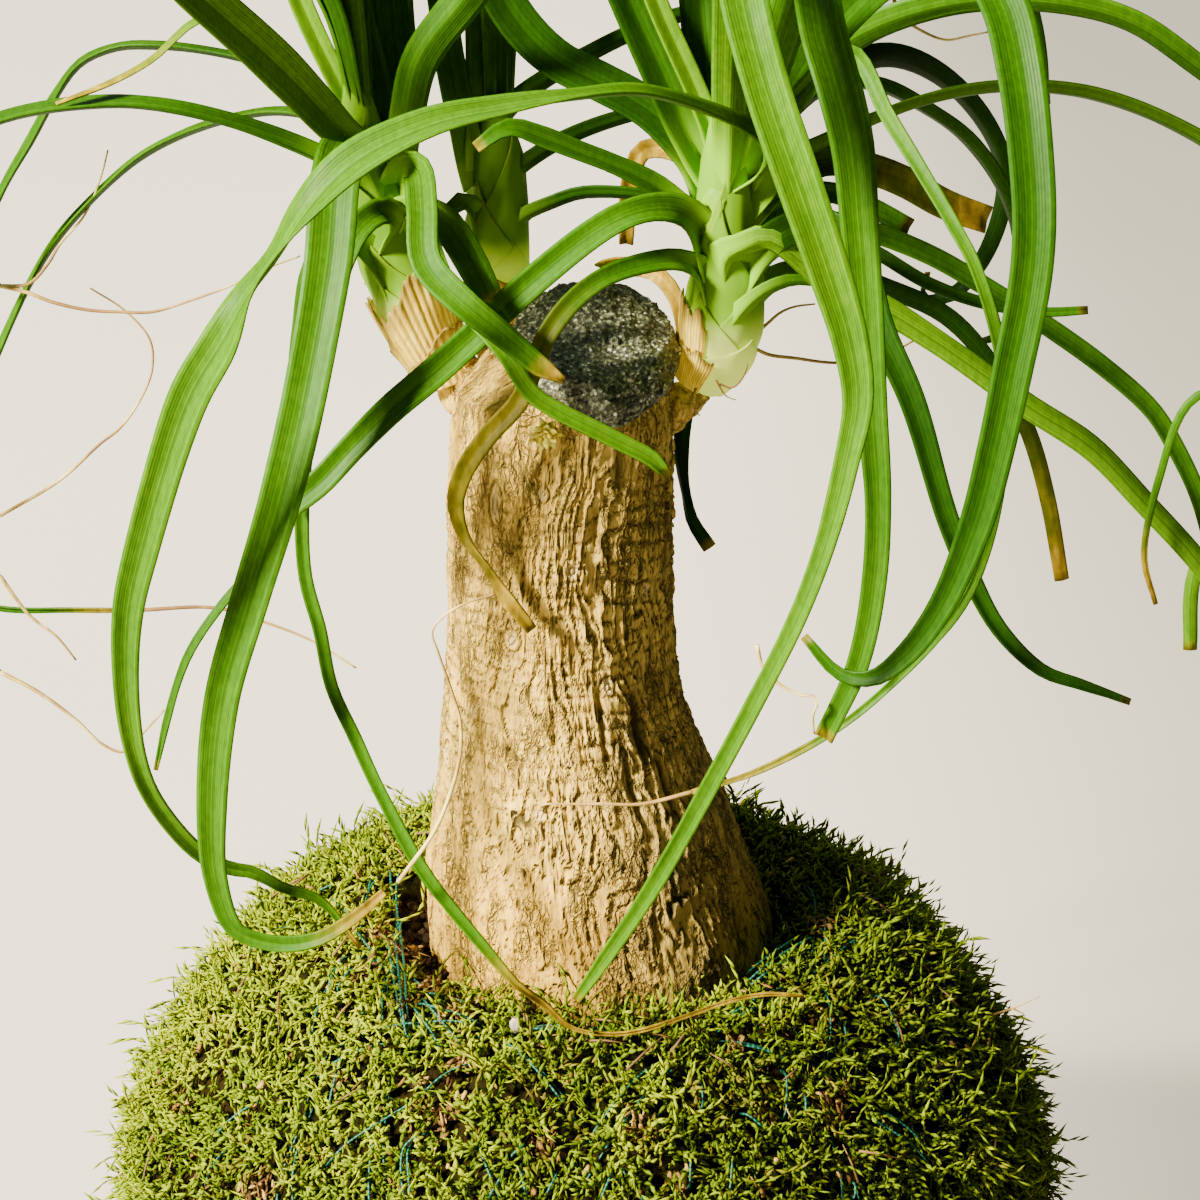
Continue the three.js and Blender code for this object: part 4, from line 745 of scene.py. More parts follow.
RIGHT = {
    "axis": [
        (27.5, -5, 317, 4.6), (31, -5, 324, 7.5), (33, -5, 332, 9), (33.5, -5, 343, 8.4), (33, -5, 357, 7.2),
        (33.5, -5, 374, 6), (34, -5, 392, 2.5),
    ],
    "seen": [
        # long_left: its lighter tone is painted sheen on its bend
        ("long_left", 0.27, "brown", 0.4, [
            (33, 98, -5, 8, 20), (42, 107, -12, 9, 40), (40, 115.5, -24, 9, 55), (25, 123, -36, 9, 62),
            (10, 127, -48, 9, 65), (-6, 126, -58, 9, 66), (-25, 123, -67, 9, 50), (-42.5, 119, -74, 9.5, 35),
            (-62.5, 109, -78, 10, 20), (-74, 97, -80, 10, 45), (-82, 85, -80, 10, 74), (-88, 77, -80, 10, 60),
            (-95, 64, -80, 10, 12), (-103, 50, -79, 9.5), (-115, 11, -78, 8.5), (-118, -3, -77, 7.5),
            (-118.5, -20, -76, 6), (-116, -39, -74, 5), (-111.5, -50, -71, 4.5), (-100.5, -63, -66, 4),
            (-93, -67, -63, 3.5), (-87, -68, -61, 3.2), (-79, -72, -60, 2.6), (-70, -75, -58, 2),
            (-60, -87, -57, 1)]),
        ("cut_left", 0.4, "cut", 0.45, [
            (30, 84, -6, 10), (26, 92, -11, 9.5), (21, 97, -15, 8.5, 10), (14, 98, -19, 8, 25), (6, 96, -23, 7.5, 20),
            (-2.5, 91, -25, 7.2, 10), (-17.5, 79, -29, 7.2), (-32.5, 65, -34, 7.2), (-42.5, 56, -38, 7.2),
            (-52.5, 47.5, -42, 7), (-62.5, 37.5, -45, 6.6), (-70.5, 29, -47, 6.6), (-79, 22.5, -48.5, 6)]),
        ("olive", 0.5, "olive", 0.4, [
            (29, 76, -8, 7), (25, 82.5, -13, 6.5, 10), (19, 85, -18, 6, 20), (9, 83.5, -24, 5.5, 20),
            (0, 80, -30, 5, 10), (-7.5, 74, -35, 5), (-14, 65, -39, 4.8), (-20, 50, -42, 4.8), (-28, 41, -43, 4.8),
            (-34, 32, -43.5, 4.8, 10), (-36, 24.5, -43, 4.6, 20), (-33.5, 15.5, -42, 4, 50), (-28, 8, -41.5, 3.6, 75),
            (-23, 0, -42, 4, 20), (-17, -7.5, -43, 2.6)]),
        ("thin_left", 0.5, "point", 0.45, [
            (31, 90, -4, 8), (21, 97.5, -6, 7), (14, 103.5, -8, 6.5, 20), (4, 108.5, -10, 6, 30),
            (-5, 112, -12, 6, 30), (-14, 115.5, -14, 6, 20), (-23, 118, -16, 5, 20), (-31, 113, -18, 3, 20)]),
        ("dark_wide", 0.7, "point", 0.3, [
            (31, 94, -1, 9), (28, 102, 0, 9.5), (22.5, 112.5, 2, 10), (12.5, 122.5, 6, 10, 10), (0, 129.5, 8, 10, 10),
            (-10, 134.5, 10, 10, 10), (-17.5, 141, 11, 10), (-24, 150, 12, 10), (-34, 172, 14, 9),
            (-43, 196, 14, 7.5), (-52, 214, 12, 5), (-60, 224, 10, 2)]),
        ("upright_left", 0.55, "point", 0.5, [
            (32, 102, 0, 9), (24, 113, 0, 10), (16, 131, 1, 10.5), (7.5, 150, 2, 10.5), (-4, 178, 2, 10),
            (-18, 206, 4, 9, 10), (-38, 230, 8, 7, 20), (-62, 240, 12, 4.5, 30), (-80, 236, 16, 2, 30)]),
        ("young", 0.08, "point", 0.4, [
            (32, 104, -4, 5), (25, 125, -5, 5.5), (14, 150, -6, 5.5), (4, 180, -6, 5), (-4, 210, -4, 3.5),
            (-9, 232, -2, 1.2)]),
        ("upright_back", 0.5, "point", 0.4, [
            (31, 98, 2, 9), (29.5, 106, 4, 10), (27, 125, 7, 10.5), (25, 150, 10, 10.5), (22, 185, 18, 10),
            (20, 220, 32, 8.5), (20, 244, 52, 6.5), (22, 254, 76, 4), (24, 252, 96, 2)]),
        ("lime_arch", 0.18, "cut", 0.4, [
            (30, 90, -7, 8), (30, 99, -11, 8, 20), (34, 103.5, -9, 7.5, 35), (42, 108, -2, 7, 55),
            (52, 112.5, 6, 7, 66), (66.5, 119, 13, 7, 70), (82.5, 125, 20, 6.5, 70), (100.5, 128, 28, 6.5, 70),
            (122, 126.5, 36, 6.5, 68), (142, 119.5, 42, 6, 66), (158, 110, 46, 6, 60), (176, 92, 48, 5.5, 60),
            (183, 68, 46, 5, 50), (176, 44, 40, 4.5, 40), (160, 22, 34, 4.2, 20), (149, 7.5, 30, 4),
            (147.5, -12.5, 28, 3.5)]),
        ("bright", 0.15, "point", 0.4, [
            (31, 80, -9, 9), (31.5, 86.5, -14, 8, 20), (36, 88.5, -18, 7.5, 40), (41.5, 90.5, -21, 7, 40),
            (48, 87, -23, 6.5, 30), (58, 78.5, -24, 6.5, 20), (70.5, 73, -23, 6.5, 15), (85, 64, -21, 6, 10),
            (107, 48.5, -17, 6, 5), (123, 38, -14, 6), (136, 24.5, -12, 5.8), (150, 9, -10, 5.5), (162, -10, -8, 4.5),
            (170, -32, -6, 3), (174, -52, -4, 1.2)]),
        ("small", 0.4, "point", 0.35, [
            (31, 66, -11, 5), (35, 72, -14, 4.5, 20), (40.5, 77, -16, 4, 30), (48, 80, -17, 3.2, 30),
            (56, 79, -17, 1.6, 30)]),
        # front_long: its lighter tone is painted sheen on its upper face
        ("front_long", 0.26, "point", 0.35, [
            (32, 102, -8, 8), (33, 132, -22, 9.5), (34, 158, -44, 10.5), (35, 164, -66, 10.5), (36, 150, -84, 10.5),
            (42, 127, -93, 10.3), (50, 103.5, -99, 9.8), (57, 83, -102, 9.2), (62.5, 65, -104, 8.2, 5),
            (64.5, 50, -105, 7, 10), (62, 36, -106, 6, 20), (57, 16, -106, 4.8, 20), (50, -3, -105, 4.4, 20),
            (38, -27, -102, 4.2, 10), (25, -51, -97, 4.2), (14, -70.5, -91, 4), (1, -90, -85, 3.6),
            (-6, -100, -82, 2.4)]),
        ("front_cut", 0.42, "cut", 0.4, [
            (34, 104, -6, 8), (43, 134, -20, 9.5), (50, 154, -38, 10.5), (53, 156, -54, 10.5), (56, 141, -68, 10.5),
            (60, 127, -76, 10), (63, 114, -80, 9.5), (65, 93, -85, 8.5, 5), (66.5, 72, -87, 8, 10),
            (68, 48, -88, 7, 10), (69.5, 24, -88, 6, 10), (68.5, 4, -87, 5.6, 10), (64.5, -16, -86, 5.4, 10),
            (56, -34.5, -84, 4.6, 10)]),
        # front_curl: its darker tone is painted shade that offsets its sheen
        ("front_curl", 0.56, "point", 0.35, [
            (35, 106, -4, 8), (54, 138, -16, 9.5), (74, 158, -32, 10.5), (91, 163, -48, 10.8), (101, 149, -62, 10.8),
            (105, 133, -72, 10.6), (107.5, 113, -80, 10.2), (108.5, 94, -86, 9.8), (107.5, 80, -89, 9.4),
            (103, 57, -93, 9), (99, 38, -95, 8.5), (94, 19, -96, 7.6), (85, -2, -95, 6), (76, -14, -93, 5),
            (68, -19.5, -91, 3.8), (60, -18.5, -88, 2.8), (51, -9, -84, 1.8)]),
        ("thread_leaf", 0.3, "dry", 0.3, [
            (34, 100, -1, 6), (50, 126, -12, 5.5, 20), (63, 137, -24, 4.4, 30), (72, 121, -36, 3.8, 20),
            (80, 108, -46, 3.4, 10), (88, 94.5, -54, 3.2), (94, 83, -59, 3), (100.5, 59.5, -65, 2.8),
            (101, 37.5, -68, 2.6), (97, 14, -70, 2.4), (90, -2, -72, 2.2), (76, -18, -73, 2), (59.5, -32, -74, 1.8),
            (39, -43, -74, 1.5), (23, -48, -74, 1.1)]),
        ("brown_end_one", 0.55, "browncut", 0.4, [
            (33, 94, -1, 8), (45, 105, 6, 8, 10), (57, 110, 12, 7.8, 10), (67, 108, 16, 7.6, 5), (76, 104.5, 19, 7.6),
            (86, 99, 22, 7.6), (97, 95, 24, 7)]),
        ("cut_one", 0.5, "cut", 0.4, [
            (33, 88, -1, 6), (45, 98, 3, 5.6, 10), (56, 102, 5, 5.2, 10), (67, 98.5, 7, 5), (77.5, 93, 8, 4.6)]),
        ("arch_one", 0.5, "point", 0.4, [
            (34, 106, 3, 6, 20), (46, 121, 12, 6.4, 45), (58, 128.5, 20, 6.4, 60), (70, 128.5, 27, 6.2, 65),
            (82.5, 122, 34, 6, 65), (92, 115, 39, 6, 62), (100, 104, 42, 5.5, 60), (104, 92, 45, 5, 60),
            (104, 79, 46, 4.6, 60), (101.5, 67, 46, 3.8, 40), (94.5, 64.5, 44, 1.4, 20)]),
        ("dark_hook", 0.8, "point", 0.4, [
            (33, 104, 7, 7), (50, 126, 24, 7.5, 20), (72, 136, 44, 7.5, 40), (91, 126, 58, 6.5, 50),
            (101, 107, 66, 5.8, 45), (97, 88, 69, 5, 30), (88, 76.5, 70, 4, 30), (81, 75.5, 69, 3, 30),
            (82, 82, 68, 1.4, 30)]),
        ("spoke_right", 0.45, "point", 0.4, [
            (32, 82, -3, 7), (43, 91, 2, 6.5, 10), (56, 94.5, 5, 6, 25), (66.5, 92.5, 6, 5.5, 25),
            (82, 86.5, 6, 5, 10), (97, 78, 5, 4.8), (111, 69, 4, 4.8), (125, 59, 3, 4.8), (138, 47.5, 1, 4.6),
            (144, 38, 0, 4.5, 10), (150, 24.5, 0, 4.2, 10), (154, 6, -1, 3.5, 10), (156, -14, -2, 2.5, 10),
            (157, -32, -2, 1.2)]),
        ("cut_two", 0.55, "cut", 0.4, [
            (32, 76, -6, 6), (44, 88, -11, 4.5, 20), (56, 91, -13, 4, 30), (67, 88, -14, 3.5, 30),
            (82.5, 79, -15, 3.2, 20), (97, 74, -15, 2.8, 20), (111, 72, -15, 2.2), (122, 72.5, -15, 1.8)]),
        ("brown_end_two", 0.6, "browncut", 0.4, [
            (33, 72, 0, 7), (45, 81, 10, 6.5, 20), (58, 82, 17, 6, 35), (71, 78, 21, 5.5, 35), (86.5, 71, 26, 5, 30),
            (98.5, 58, 30, 4.6, 20), (107, 42.5, 32, 4.4, 10), (112, 25, 34, 4.2), (115.5, 5, 35, 3.8)]),
        ("dark_low", 0.75, "point", 0.4, [
            (32, 78, -7, 8), (44, 91, -22, 8, 10), (56, 94, -36, 8, 20), (64.5, 86, -46, 7.4, 10), (70, 68, -52, 6.8),
            (78, 50, -57, 6), (87, 20, -61, 5.2), (93, 5, -62, 4.6), (100, -7.5, -62, 4), (110.5, -17.5, -61, 3.2),
            (120, -21, -60, 2.6), (132.5, -25.5, -58, 1.4)]),
        ("far_right", 0.35, "thread", 0.35, [
            (34, 106, -1, 7), (58, 137, -4, 7.5, 20), (84, 148.5, -9, 7.5, 40), (109, 150, -12, 7, 45),
            (132, 145, -14, 6.5, 45), (150, 133, -16, 6, 45), (171, 116, -18, 5.5, 40), (183, 92, -20, 4.5, 40),
            (180, 68, -20, 3.6, 30), (164, 55, -19, 2.8, 20), (148, 50, -18, 2.2), (140, 31, -17, 1.8),
            (136, 11, -16, 1.4), (139, -1, -16, 1)]),
        ("arch_two", 0.5, "point", 0.4, [
            (34, 108, 4, 6), (58, 148, 22, 6, 20), (84, 168, 38, 5.5, 40), (100, 162, 46, 4.5, 40),
            (108, 148, 50, 3.4, 40), (110.5, 137, 52, 2.6, 40), (112, 124, 54, 1.2, 30)]),
        ("arch_three", 0.55, "point", 0.4, [
            (33, 108, 1, 5), (50, 146, 8, 5.5, 10), (64, 168, 14, 5, 20), (71, 166, 17, 3.6, 20),
            (73, 154, 18, 1.4, 20)]),
        ("dark_cut", 0.8, "cut", 0.4, [
            (30, 66, 3, 6), (26, 62, 13, 5.5, 10), (22, 52, 14, 5, 10), (20.5, 41, 12, 4.2), (20.5, 32, 10, 3.8, 40),
            (21.5, 26, 9, 3.4, 70), (23, 20, 8, 3.6, 20), (27.5, 13, 7, 3.6)]),
        ("dry_husk", 0.5, "dead", 0.4, [
            (1, 82, 8, 4), (4, 83.5, 6, 4.5, 20), (10, 83.5, 3, 5, 40), (15, 81, 0, 4.6, 30), (19, 75.5, -3, 4),
            (20.7, 68, -6, 3.4), (20.5, 61, -8, 2.5)]),
        ("dry", 0.5, "dead", 0.5, [
            (31, 96, 4, 6), (21, 111, 13, 5.5), (11, 112.5, 20, 5), (7.5, 104, 23, 4.6), (6.5, 89, 25, 3.6)]),
        ("back", 0.6, "point", 0.4, [
            (34, 96, 4, 8), (36, 118, 24, 8.5), (37, 127, 50, 8), (37, 120, 82, 7), (35, 104, 104, 5),
            (34, 88, 118, 2.5)]),
    ],
    "crown": [
        (350, 86, 170, 240, 8.5), (8, 98, 184, 270, 8.5), (26, 84, 176, 210, 8), (326, 92, 166, 170, 8),
        (304, 104, 104, 34, 7.5), (44, 96, 150, 70, 8), (60, 112, 120, 76, 8),
    ],
}
HEADS = {"left": LEFT, "back": BACK, "right": RIGHT}
print("leaves seen at each shoot:", {side: len(head["seen"]) for side, head in HEADS.items()})

# %% [markdown]
# A leaf follows one smooth curve. This is the centripetal Catmull-Rom curve, which passes through every
# point without loops. The curve is then cut into even steps, so that the faces of a leaf are alike.

# %% Smooth curves
def curve_point(points, place):
    """The curve's point at a place from 0 to the last point's number."""
    last = len(points) - 1
    i = min(int(place), last - 1)
    x1, x2 = points[i], points[i + 1]
    x0 = points[i - 1] if i else 2 * x1 - x2
    x3 = points[i + 2] if i + 2 <= last else 2 * x2 - x1
    d0, d1, d2 = (max(float(np.linalg.norm(b - a)) ** 0.5, 1e-4) for a, b in ((x0, x1), (x1, x2), (x2, x3)))
    t1 = ((x1 - x0) / d0 - (x2 - x0) / (d0 + d1) + (x2 - x1) / d1) * d1
    t2 = ((x2 - x1) / d1 - (x3 - x1) / (d1 + d2) + (x3 - x2) / d2) * d1
    t = place - i
    return x1 + t1 * t + (-3 * x1 + 3 * x2 - 2 * t1 - t2) * t ** 2 + (2 * x1 - 2 * x2 + t1 + t2) * t ** 3


def even_curve(points, step):
    """Even points on the curve, and each one's place among the given points."""
    points = np.asarray(points, dtype=float)
    places = np.linspace(0, len(points) - 1, 24 * (len(points) - 1) + 1)
    dense = np.array([curve_point(points, place) for place in places])
    walked = np.concatenate([[0], np.cumsum(np.linalg.norm(np.diff(dense, axis=0), axis=1))])
    count = max(6, round(walked[-1] / step))
    marks = np.linspace(0, walked[-1], count + 1)
    even = np.stack([np.interp(marks, walked, dense[:, k]) for k in range(3)], axis=1)
    return even, np.interp(marks, walked, places), walked[-1]


def on_sight(across, up, y):
    """The point at depth y that the camera sees at across and up, all in mm."""
    sine, cosine = math.sin(VIEW_TILT), math.cos(VIEW_TILT)
    way = np.array([across, up * sine + VIEW_DISTANCE * cosine, up * cosine - VIEW_DISTANCE * sine])
    return eye + way * (y - eye[1]) / way[1]


def unit(vectors):
    return vectors / np.maximum(np.linalg.norm(vectors, axis=-1, keepdims=True), 1e-9)

print("a point in the middle of the view:", np.round(on_sight(0, 0, 0), 1))

# %% [markdown]
# Where a leaf points straight at the camera, its way across can't be told from the picture. There it is
# carried over from its neighbours, so that no leaf twists. The fold opens to the upper side of the leaf.
# Near its foot the fold closes into a gutter that holds the next leaf.

# %% One leaf as a folded strap
LEAF_STEP = 3.0
LEAF_COLUMNS = 8
LEAF_LAYERS = ("side", "tone", "brown", "pale")
TIPS = {  # how brown the end is: shares, each full up to one distance from the tip and gone at the next, in mm
    "point": [(0.7, 0.5, 3)], "thread": [(1, 4, 26)], "ribbon": [(1, 70, 92)], "dry": [(0.8, 6, 45)],
    "brown": [(1, 3, 9)], "cut": [(0.8, 0.1, 1.2)], "browncut": [(0.65, 4, 16), (0.35, 25, 60)],
    "olive": [(0.55, 55, 110), (0.4, 8, 32)], "dead": [(1, 1000, 1001)],   # longer than any leaf: brown all over
}


def leaf_ways(path, level, turn):
    """The unit vectors across each step of a leaf, without sudden turns."""
    along = unit(np.gradient(path, axis=0))
    raw = np.array([level(a) for a in along])
    raw -= along * np.sum(raw * along, axis=1, keepdims=True)
    clear = np.linalg.norm(raw, axis=1)
    raw = unit(raw)
    across = raw * np.cos(turn)[:, None] - np.cross(raw, along) * np.sin(turn)[:, None]
    good = clear > 0.4
    good[0] = True
    for i in range(1, len(path)):
        carried = across[i - 1] - along[i] * across[i - 1].dot(along[i])
        carried /= np.linalg.norm(carried)
        if not good[i]:
            across[i] = carried
        elif across[i].dot(carried) < 0:
            across[i] = -across[i]
    for _ in range(5):
        across[1:-1] = (across[:-2] + 2 * across[1:-1] + across[2:]) / 4
        across = unit(across - along * np.sum(across * along, axis=1, keepdims=True))
    return along, across


def add_leaf(bm, points, level, tone, tip, fold, seed):
    table = np.array(points, dtype=float)
    path, place, length = even_curve(table[:, :3], LEAF_STEP)
    order = np.arange(len(table))
    width = np.interp(place, order, table[:, 3])
    turn = np.radians(np.interp(place, order, table[:, 4]))
    along, across = leaf_ways(path, level, turn)
    face = np.cross(across, along)
    if np.sum(face[:, 2]) < 0:
        across, face = -across, -face
    t = np.linspace(0, 1, len(path))
    pull = np.array([noise.noise(Vector((0.03 * length * v, seed * 7.3, 0))) for v in t])
    width = width * (1 + 0.05 * pull) * (1 + 0.7 * (1 - smooth_step(0, 17, length * t)))
    gutter = fold + (1.15 - fold) * (1 - smooth_step(0.0, 25 / length, t))
    from_end = length * (1 - t)
    brown = sum(share * (1 - smooth_step(near, far, from_end)) for share, near, far in TIPS[tip])
    pale = 0.55 * (1 - smooth_step(4, 26, length * t))
    layers = [bm.verts.layers.float[name] for name in LEAF_LAYERS]
    rows = len(path)
    for vert in bmesh.ops.create_grid(bm, x_segments=LEAF_COLUMNS, y_segments=rows - 1, size=1)["verts"]:
        i = round((vert.co.y + 1) / 2 * (rows - 1))
        s = vert.co.x
        half = width[i] / 2
        lift = gutter[i] * half * abs(s) ** 1.08 * (0.8 if s > 0 else 1.0)
        ripple = 0.35 * noise.noise(Vector((0.05 * length * t[i], 3 * s, seed))) * abs(s)
        inward = 1 - 0.22 * min(gutter[i], 1.2) ** 2
        vert.co = path[i] + across[i] * (half * s * inward) + face[i] * (lift - 0.45 * gutter[i] * half + ripple)
        for layer, value in zip(layers, (s, tone, brown[i], pale[i])):
            vert[layer] = value
    return length


def crown_points(axis, bearing, rise, reach, drop, width):
    """A leaf that arches out over the crown, from the top of a shoot."""
    foot = np.array(axis[-2][:3], dtype=float)
    turn = math.radians(bearing)
    outward = np.array([math.cos(turn), math.sin(turn), 0])
    shape = [(0, -0.1, 0.8), (0.05, 0.42, 0.9), (0.2, 0.82, 1), (0.45, 1, 1), (0.72, 0.82, 0.8), (0.92, 0.35, 0.5)]
    if drop < rise:
        shape.pop()
    points = [(*(foot + outward * reach * out + (0, 0, rise * up)), width * wide, 0) for out, up, wide in shape]
    return points + [(*(foot + outward * reach + (0, 0, rise - drop)), 1.4, 0)]

print("kinds of tip:", ", ".join(TIPS))

# %% [markdown]
# A leaf's colour runs from cream at its foot, through yellow-green, to its own green, with painted shade along
# the crease in the middle, soft lengthwise bands, a fine mottle and parallel veins that also show as relief. Ends
# that are cut or dried out turn brown. A faint painted glow on the pale feet stands in for the light that comes
# through them. Everything is read from values kept on the leaf's own points, so the pattern follows every bend.

# %% The leaf's finish
def vein_group():
    """A group that gives fine veins, and the middle crease for painted shade, from a leaf's side value."""
    tree = bpy.data.node_groups.new("leaf_veins", "ShaderNodeTree")
    for name, way in (("Side", "INPUT"), ("Count", "INPUT"), ("Veins", "OUTPUT"), ("Crease Shade", "OUTPUT")):
        tree.interface.new_socket(name, in_out=way, socket_type="NodeSocketFloat")
    start = tree.nodes.new("NodeGroupInput")
    end = tree.nodes.new("NodeGroupOutput")
    tree.links.new(ripples(tree, start.outputs["Side"], start.outputs["Count"]), end.inputs["Veins"])
    from_middle = arithmetic(tree, "ABSOLUTE", start.outputs["Side"])
    tree.links.new(remap(tree, from_middle, 0.02, 0.08, 1.0, 0.0), end.inputs["Crease Shade"])
    return tree


def veins_of(tree, count):
    return add_node(tree, "ShaderNodeGroup", {"Side": attribute(tree, "side"), "Count": count}, node_tree=veins)


veins = vein_group()
leaf_paint, tree, shader = new_material("strap_leaf", roughness=0.46, Specular_IOR_Level=0.07)
lines = veins_of(tree, 46)
patches = object_noise(tree, 26, detail=3.0)
tone = arithmetic(tree, "ADD", attribute(tree, "tone"), scaled(tree, patches, 0.3))
green = ramp(tree, tone, (0.15, (0.110, 0.255, 0.0003)), (0.5, (0.036, 0.120, 0.0003)),
             (0.75, (0.014, 0.062, 0.0003)), (1.0, (0.004, 0.022, 0.0003)))
green = mix(tree, scaled(tree, lines.outputs["Veins"], 0.34), green, (0.012, 0.05, 0.0005))
mottle = object_noise(tree, 800, (1, 1, 0.4), detail=3.0)
green = mix(tree, 1.0, green, ramp(tree, mottle, (0.36, (0.80, 0.86, 0.9)), (0.62, (1.15, 1.1, 1.0))), "MULTIPLY")
streaks = add_node(tree, "ShaderNodeTexNoise", {"W": scaled(tree, attribute(tree, "side"), 5.0), "Scale": 1.0,
                                                "Detail": 4.0}, noise_dimensions="1D").outputs["Fac"]
bands = ramp(tree, streaks, (0.40, grey(0.75)), (0.62, grey(1.25)))
green = mix(tree, 1.0, green, bands, "MULTIPLY")
# painted shade along the middle crease
green = mix(tree, scaled(tree, lines.outputs["Crease Shade"], 0.5), green, (0.015, 0.06, 0.0003))
paleness = attribute(tree, "pale")
green = mix(tree, ramp(tree, paleness, (0.0, grey(0)), (0.5, grey(1))), green, (0.17, 0.38, 0.001))
green = mix(tree, ramp(tree, paleness, (0.55, grey(0)), (1.0, grey(1))), green, (0.93, 0.93, 0.33))
# painted glow: emission on the pale feet stands in for light that comes through them
painted_glow = mix(tree, ramp(tree, paleness, (0.5, grey(0)), (0.95, grey(1))), (0, 0, 0), (0.27, 0.44, 0.0))
tree.links.new(painted_glow, shader.inputs["Emission Color"])
shader.inputs["Emission Strength"].default_value = 1.0
flecks = object_noise(tree, 300, (1, 1, 0.5), detail=4.0)
straw = ramp(tree, flecks, (0.3, (0.085, 0.055, 0.002)), (0.55, (0.25, 0.160, 0.007)),
             (0.75, (0.48, 0.34, 0.035)))
paint(tree, shader, mix(tree, attribute(tree, "brown"), green, straw))
tree.links.new(ramp(tree, patches, (0.3, grey(0.36)), (0.7, grey(0.52))), shader.inputs["Roughness"])
bump(tree, shader, lines.outputs["Veins"], 0.12, 0.0002)
print("finish of the leaves:", leaf_paint.name)

# %% [markdown]
# The leaves of one shoot share a mesh, and a Solidify modifier gives them their thickness.

# %% Build the leaves
LEAF_THICKNESS, FOOT_THICKNESS, SHEATH_THICKNESS = 0.55, 0.45, 0.4


def thicken(piece, thickness):
    modifier = piece.modifiers.new("thickness", "SOLIDIFY")
    modifier.thickness = thickness * MM
    modifier.offset = 0


for side, head in HEADS.items():
    bm = layered_bmesh(LEAF_LAYERS)
    lengths = []
    for number, (_, leaf_tone, tip, fold, points) in enumerate(head["seen"]):
        placed = [(*on_sight(*point[:3]), *point[3:], 0)[:5] for point in points]   # an unwritten turn is 0
        lengths.append(add_leaf(bm, placed, lambda a: np.cross(a, to_eye), leaf_tone, tip, fold, number + 1))
    for number, shape in enumerate(head["crown"]):
        turn = math.radians(shape[0])
        level = np.array([-math.sin(turn), math.cos(turn), 0])
        leaf_tone = 0.35 + 0.07 * (number % 4)
        points = crown_points(head["axis"], *shape)
        lengths.append(add_leaf(bm, points, lambda a: level, leaf_tone, "point", 0.4, number + 50))
    piece = finish_piece(f"{side}_leaves", metre_mesh(bm, f"{side}_leaves"), leaf_paint, "leaf", f"{side}_leaf_head")
    thicken(piece, LEAF_THICKNESS)
    print(f"the longest {side} leaf is {max(lengths):.0f} mm")

# %% [markdown]
# ## The feet of the shoots
# The leaves clasp each other at their feet and make a swollen, bulb-like base, cream below and green above.
# Each clasping foot is a sheet rolled round the shoot, whose upper lip runs up to a point. Papery brown sheaths
# of old leaves hang on outside them, torn at the top. Both are grids rolled round the shoot's own curve.

# %% Sheets rolled round a shoot
def shoot_frames(axis, places):
    """Centre, way along, two ways across and radius of a shoot at places from 0 to its last point."""
    points = np.array([p[:3] for p in axis], dtype=float)
    marks = np.linspace(0, len(points) - 1, 240)
    centres = np.array([curve_point(points, mark) for mark in marks])
    along = unit(np.gradient(centres, axis=0))
    at = np.stack([np.interp(places, marks, centres[:, k]) for k in range(3)], axis=1)
    along = unit(np.stack([np.interp(places, marks, along[:, k]) for k in range(3)], axis=1))
    side = unit(np.cross((0, 1, 0), along))
    return at, along, side, np.cross(along, side), np.interp(places, range(len(axis)), [p[3] for p in axis])


def add_rolled_sheet(bm, axis, bearing, half_width, low, high, out, flare, torn, seed, layers,
                     columns=56, rows=30):
    """low and high are places along the shoot from 0 to 1; torn is how ragged the upper lip is."""
    verts = bmesh.ops.create_grid(bm, x_segments=columns, y_segments=rows, size=1)["verts"]
    s = np.array([vert.co.x for vert in verts])
    v = np.array([(vert.co.y + 1) / 2 for vert in verts])
    nought = np.zeros(len(s))
    angle = np.radians(bearing + half_width * s)
    slant = 0.5 + 0.5 * np.cos(math.pi * s * half_width / 180)
    rag = field(np.stack([3.2 * s, nought + seed, nought], axis=1)) \
        + 0.6 * field(np.stack([11 * s, nought + seed, nought + 4], axis=1))
    fall = 0.8 * (1 - slant) ** 0.9 if torn else 0.9 * np.abs(s) ** 0.8
    lip = high - (high - low) * (fall + torn * (0.35 + 0.5 * rag))
    place = np.clip(low + (np.maximum(lip, low + 0.02) - low) * v, 0, 1) * (len(axis) - 1)
    at, along, side, up, radius = shoot_frames(axis, place)
    pleat = (0.06 if torn else 0.03) * np.sin(angle * 17 + seed)
    pleat += 0.35 * field(np.stack([4 * s, 2.5 * v, nought + seed + 9], axis=1))
    r = radius + out + flare * v * v + pleat * (0.3 + v)
    moved = at + side * (r * np.cos(angle))[:, None] + up * (r * np.sin(angle))[:, None]
    for vert, spot, s_now, v_now, place_now in zip(verts, moved, s, v, place / (len(axis) - 1)):
        vert.co = spot
        for name, value in layers(s_now, v_now, place_now).items():
            vert[bm.verts.layers.float[name]] = value


def foot_paleness(place):
    return 0.34 + 0.66 * (1 - smooth_step(0.16, 0.56, place))


def foot_values(s, v, place):
    lip = max(0, v - 0.96) / 0.04
    return {"side": 0.6 * s, "tone": 0.32, "brown": 0.3 * lip, "pale": float(foot_paleness(place))}


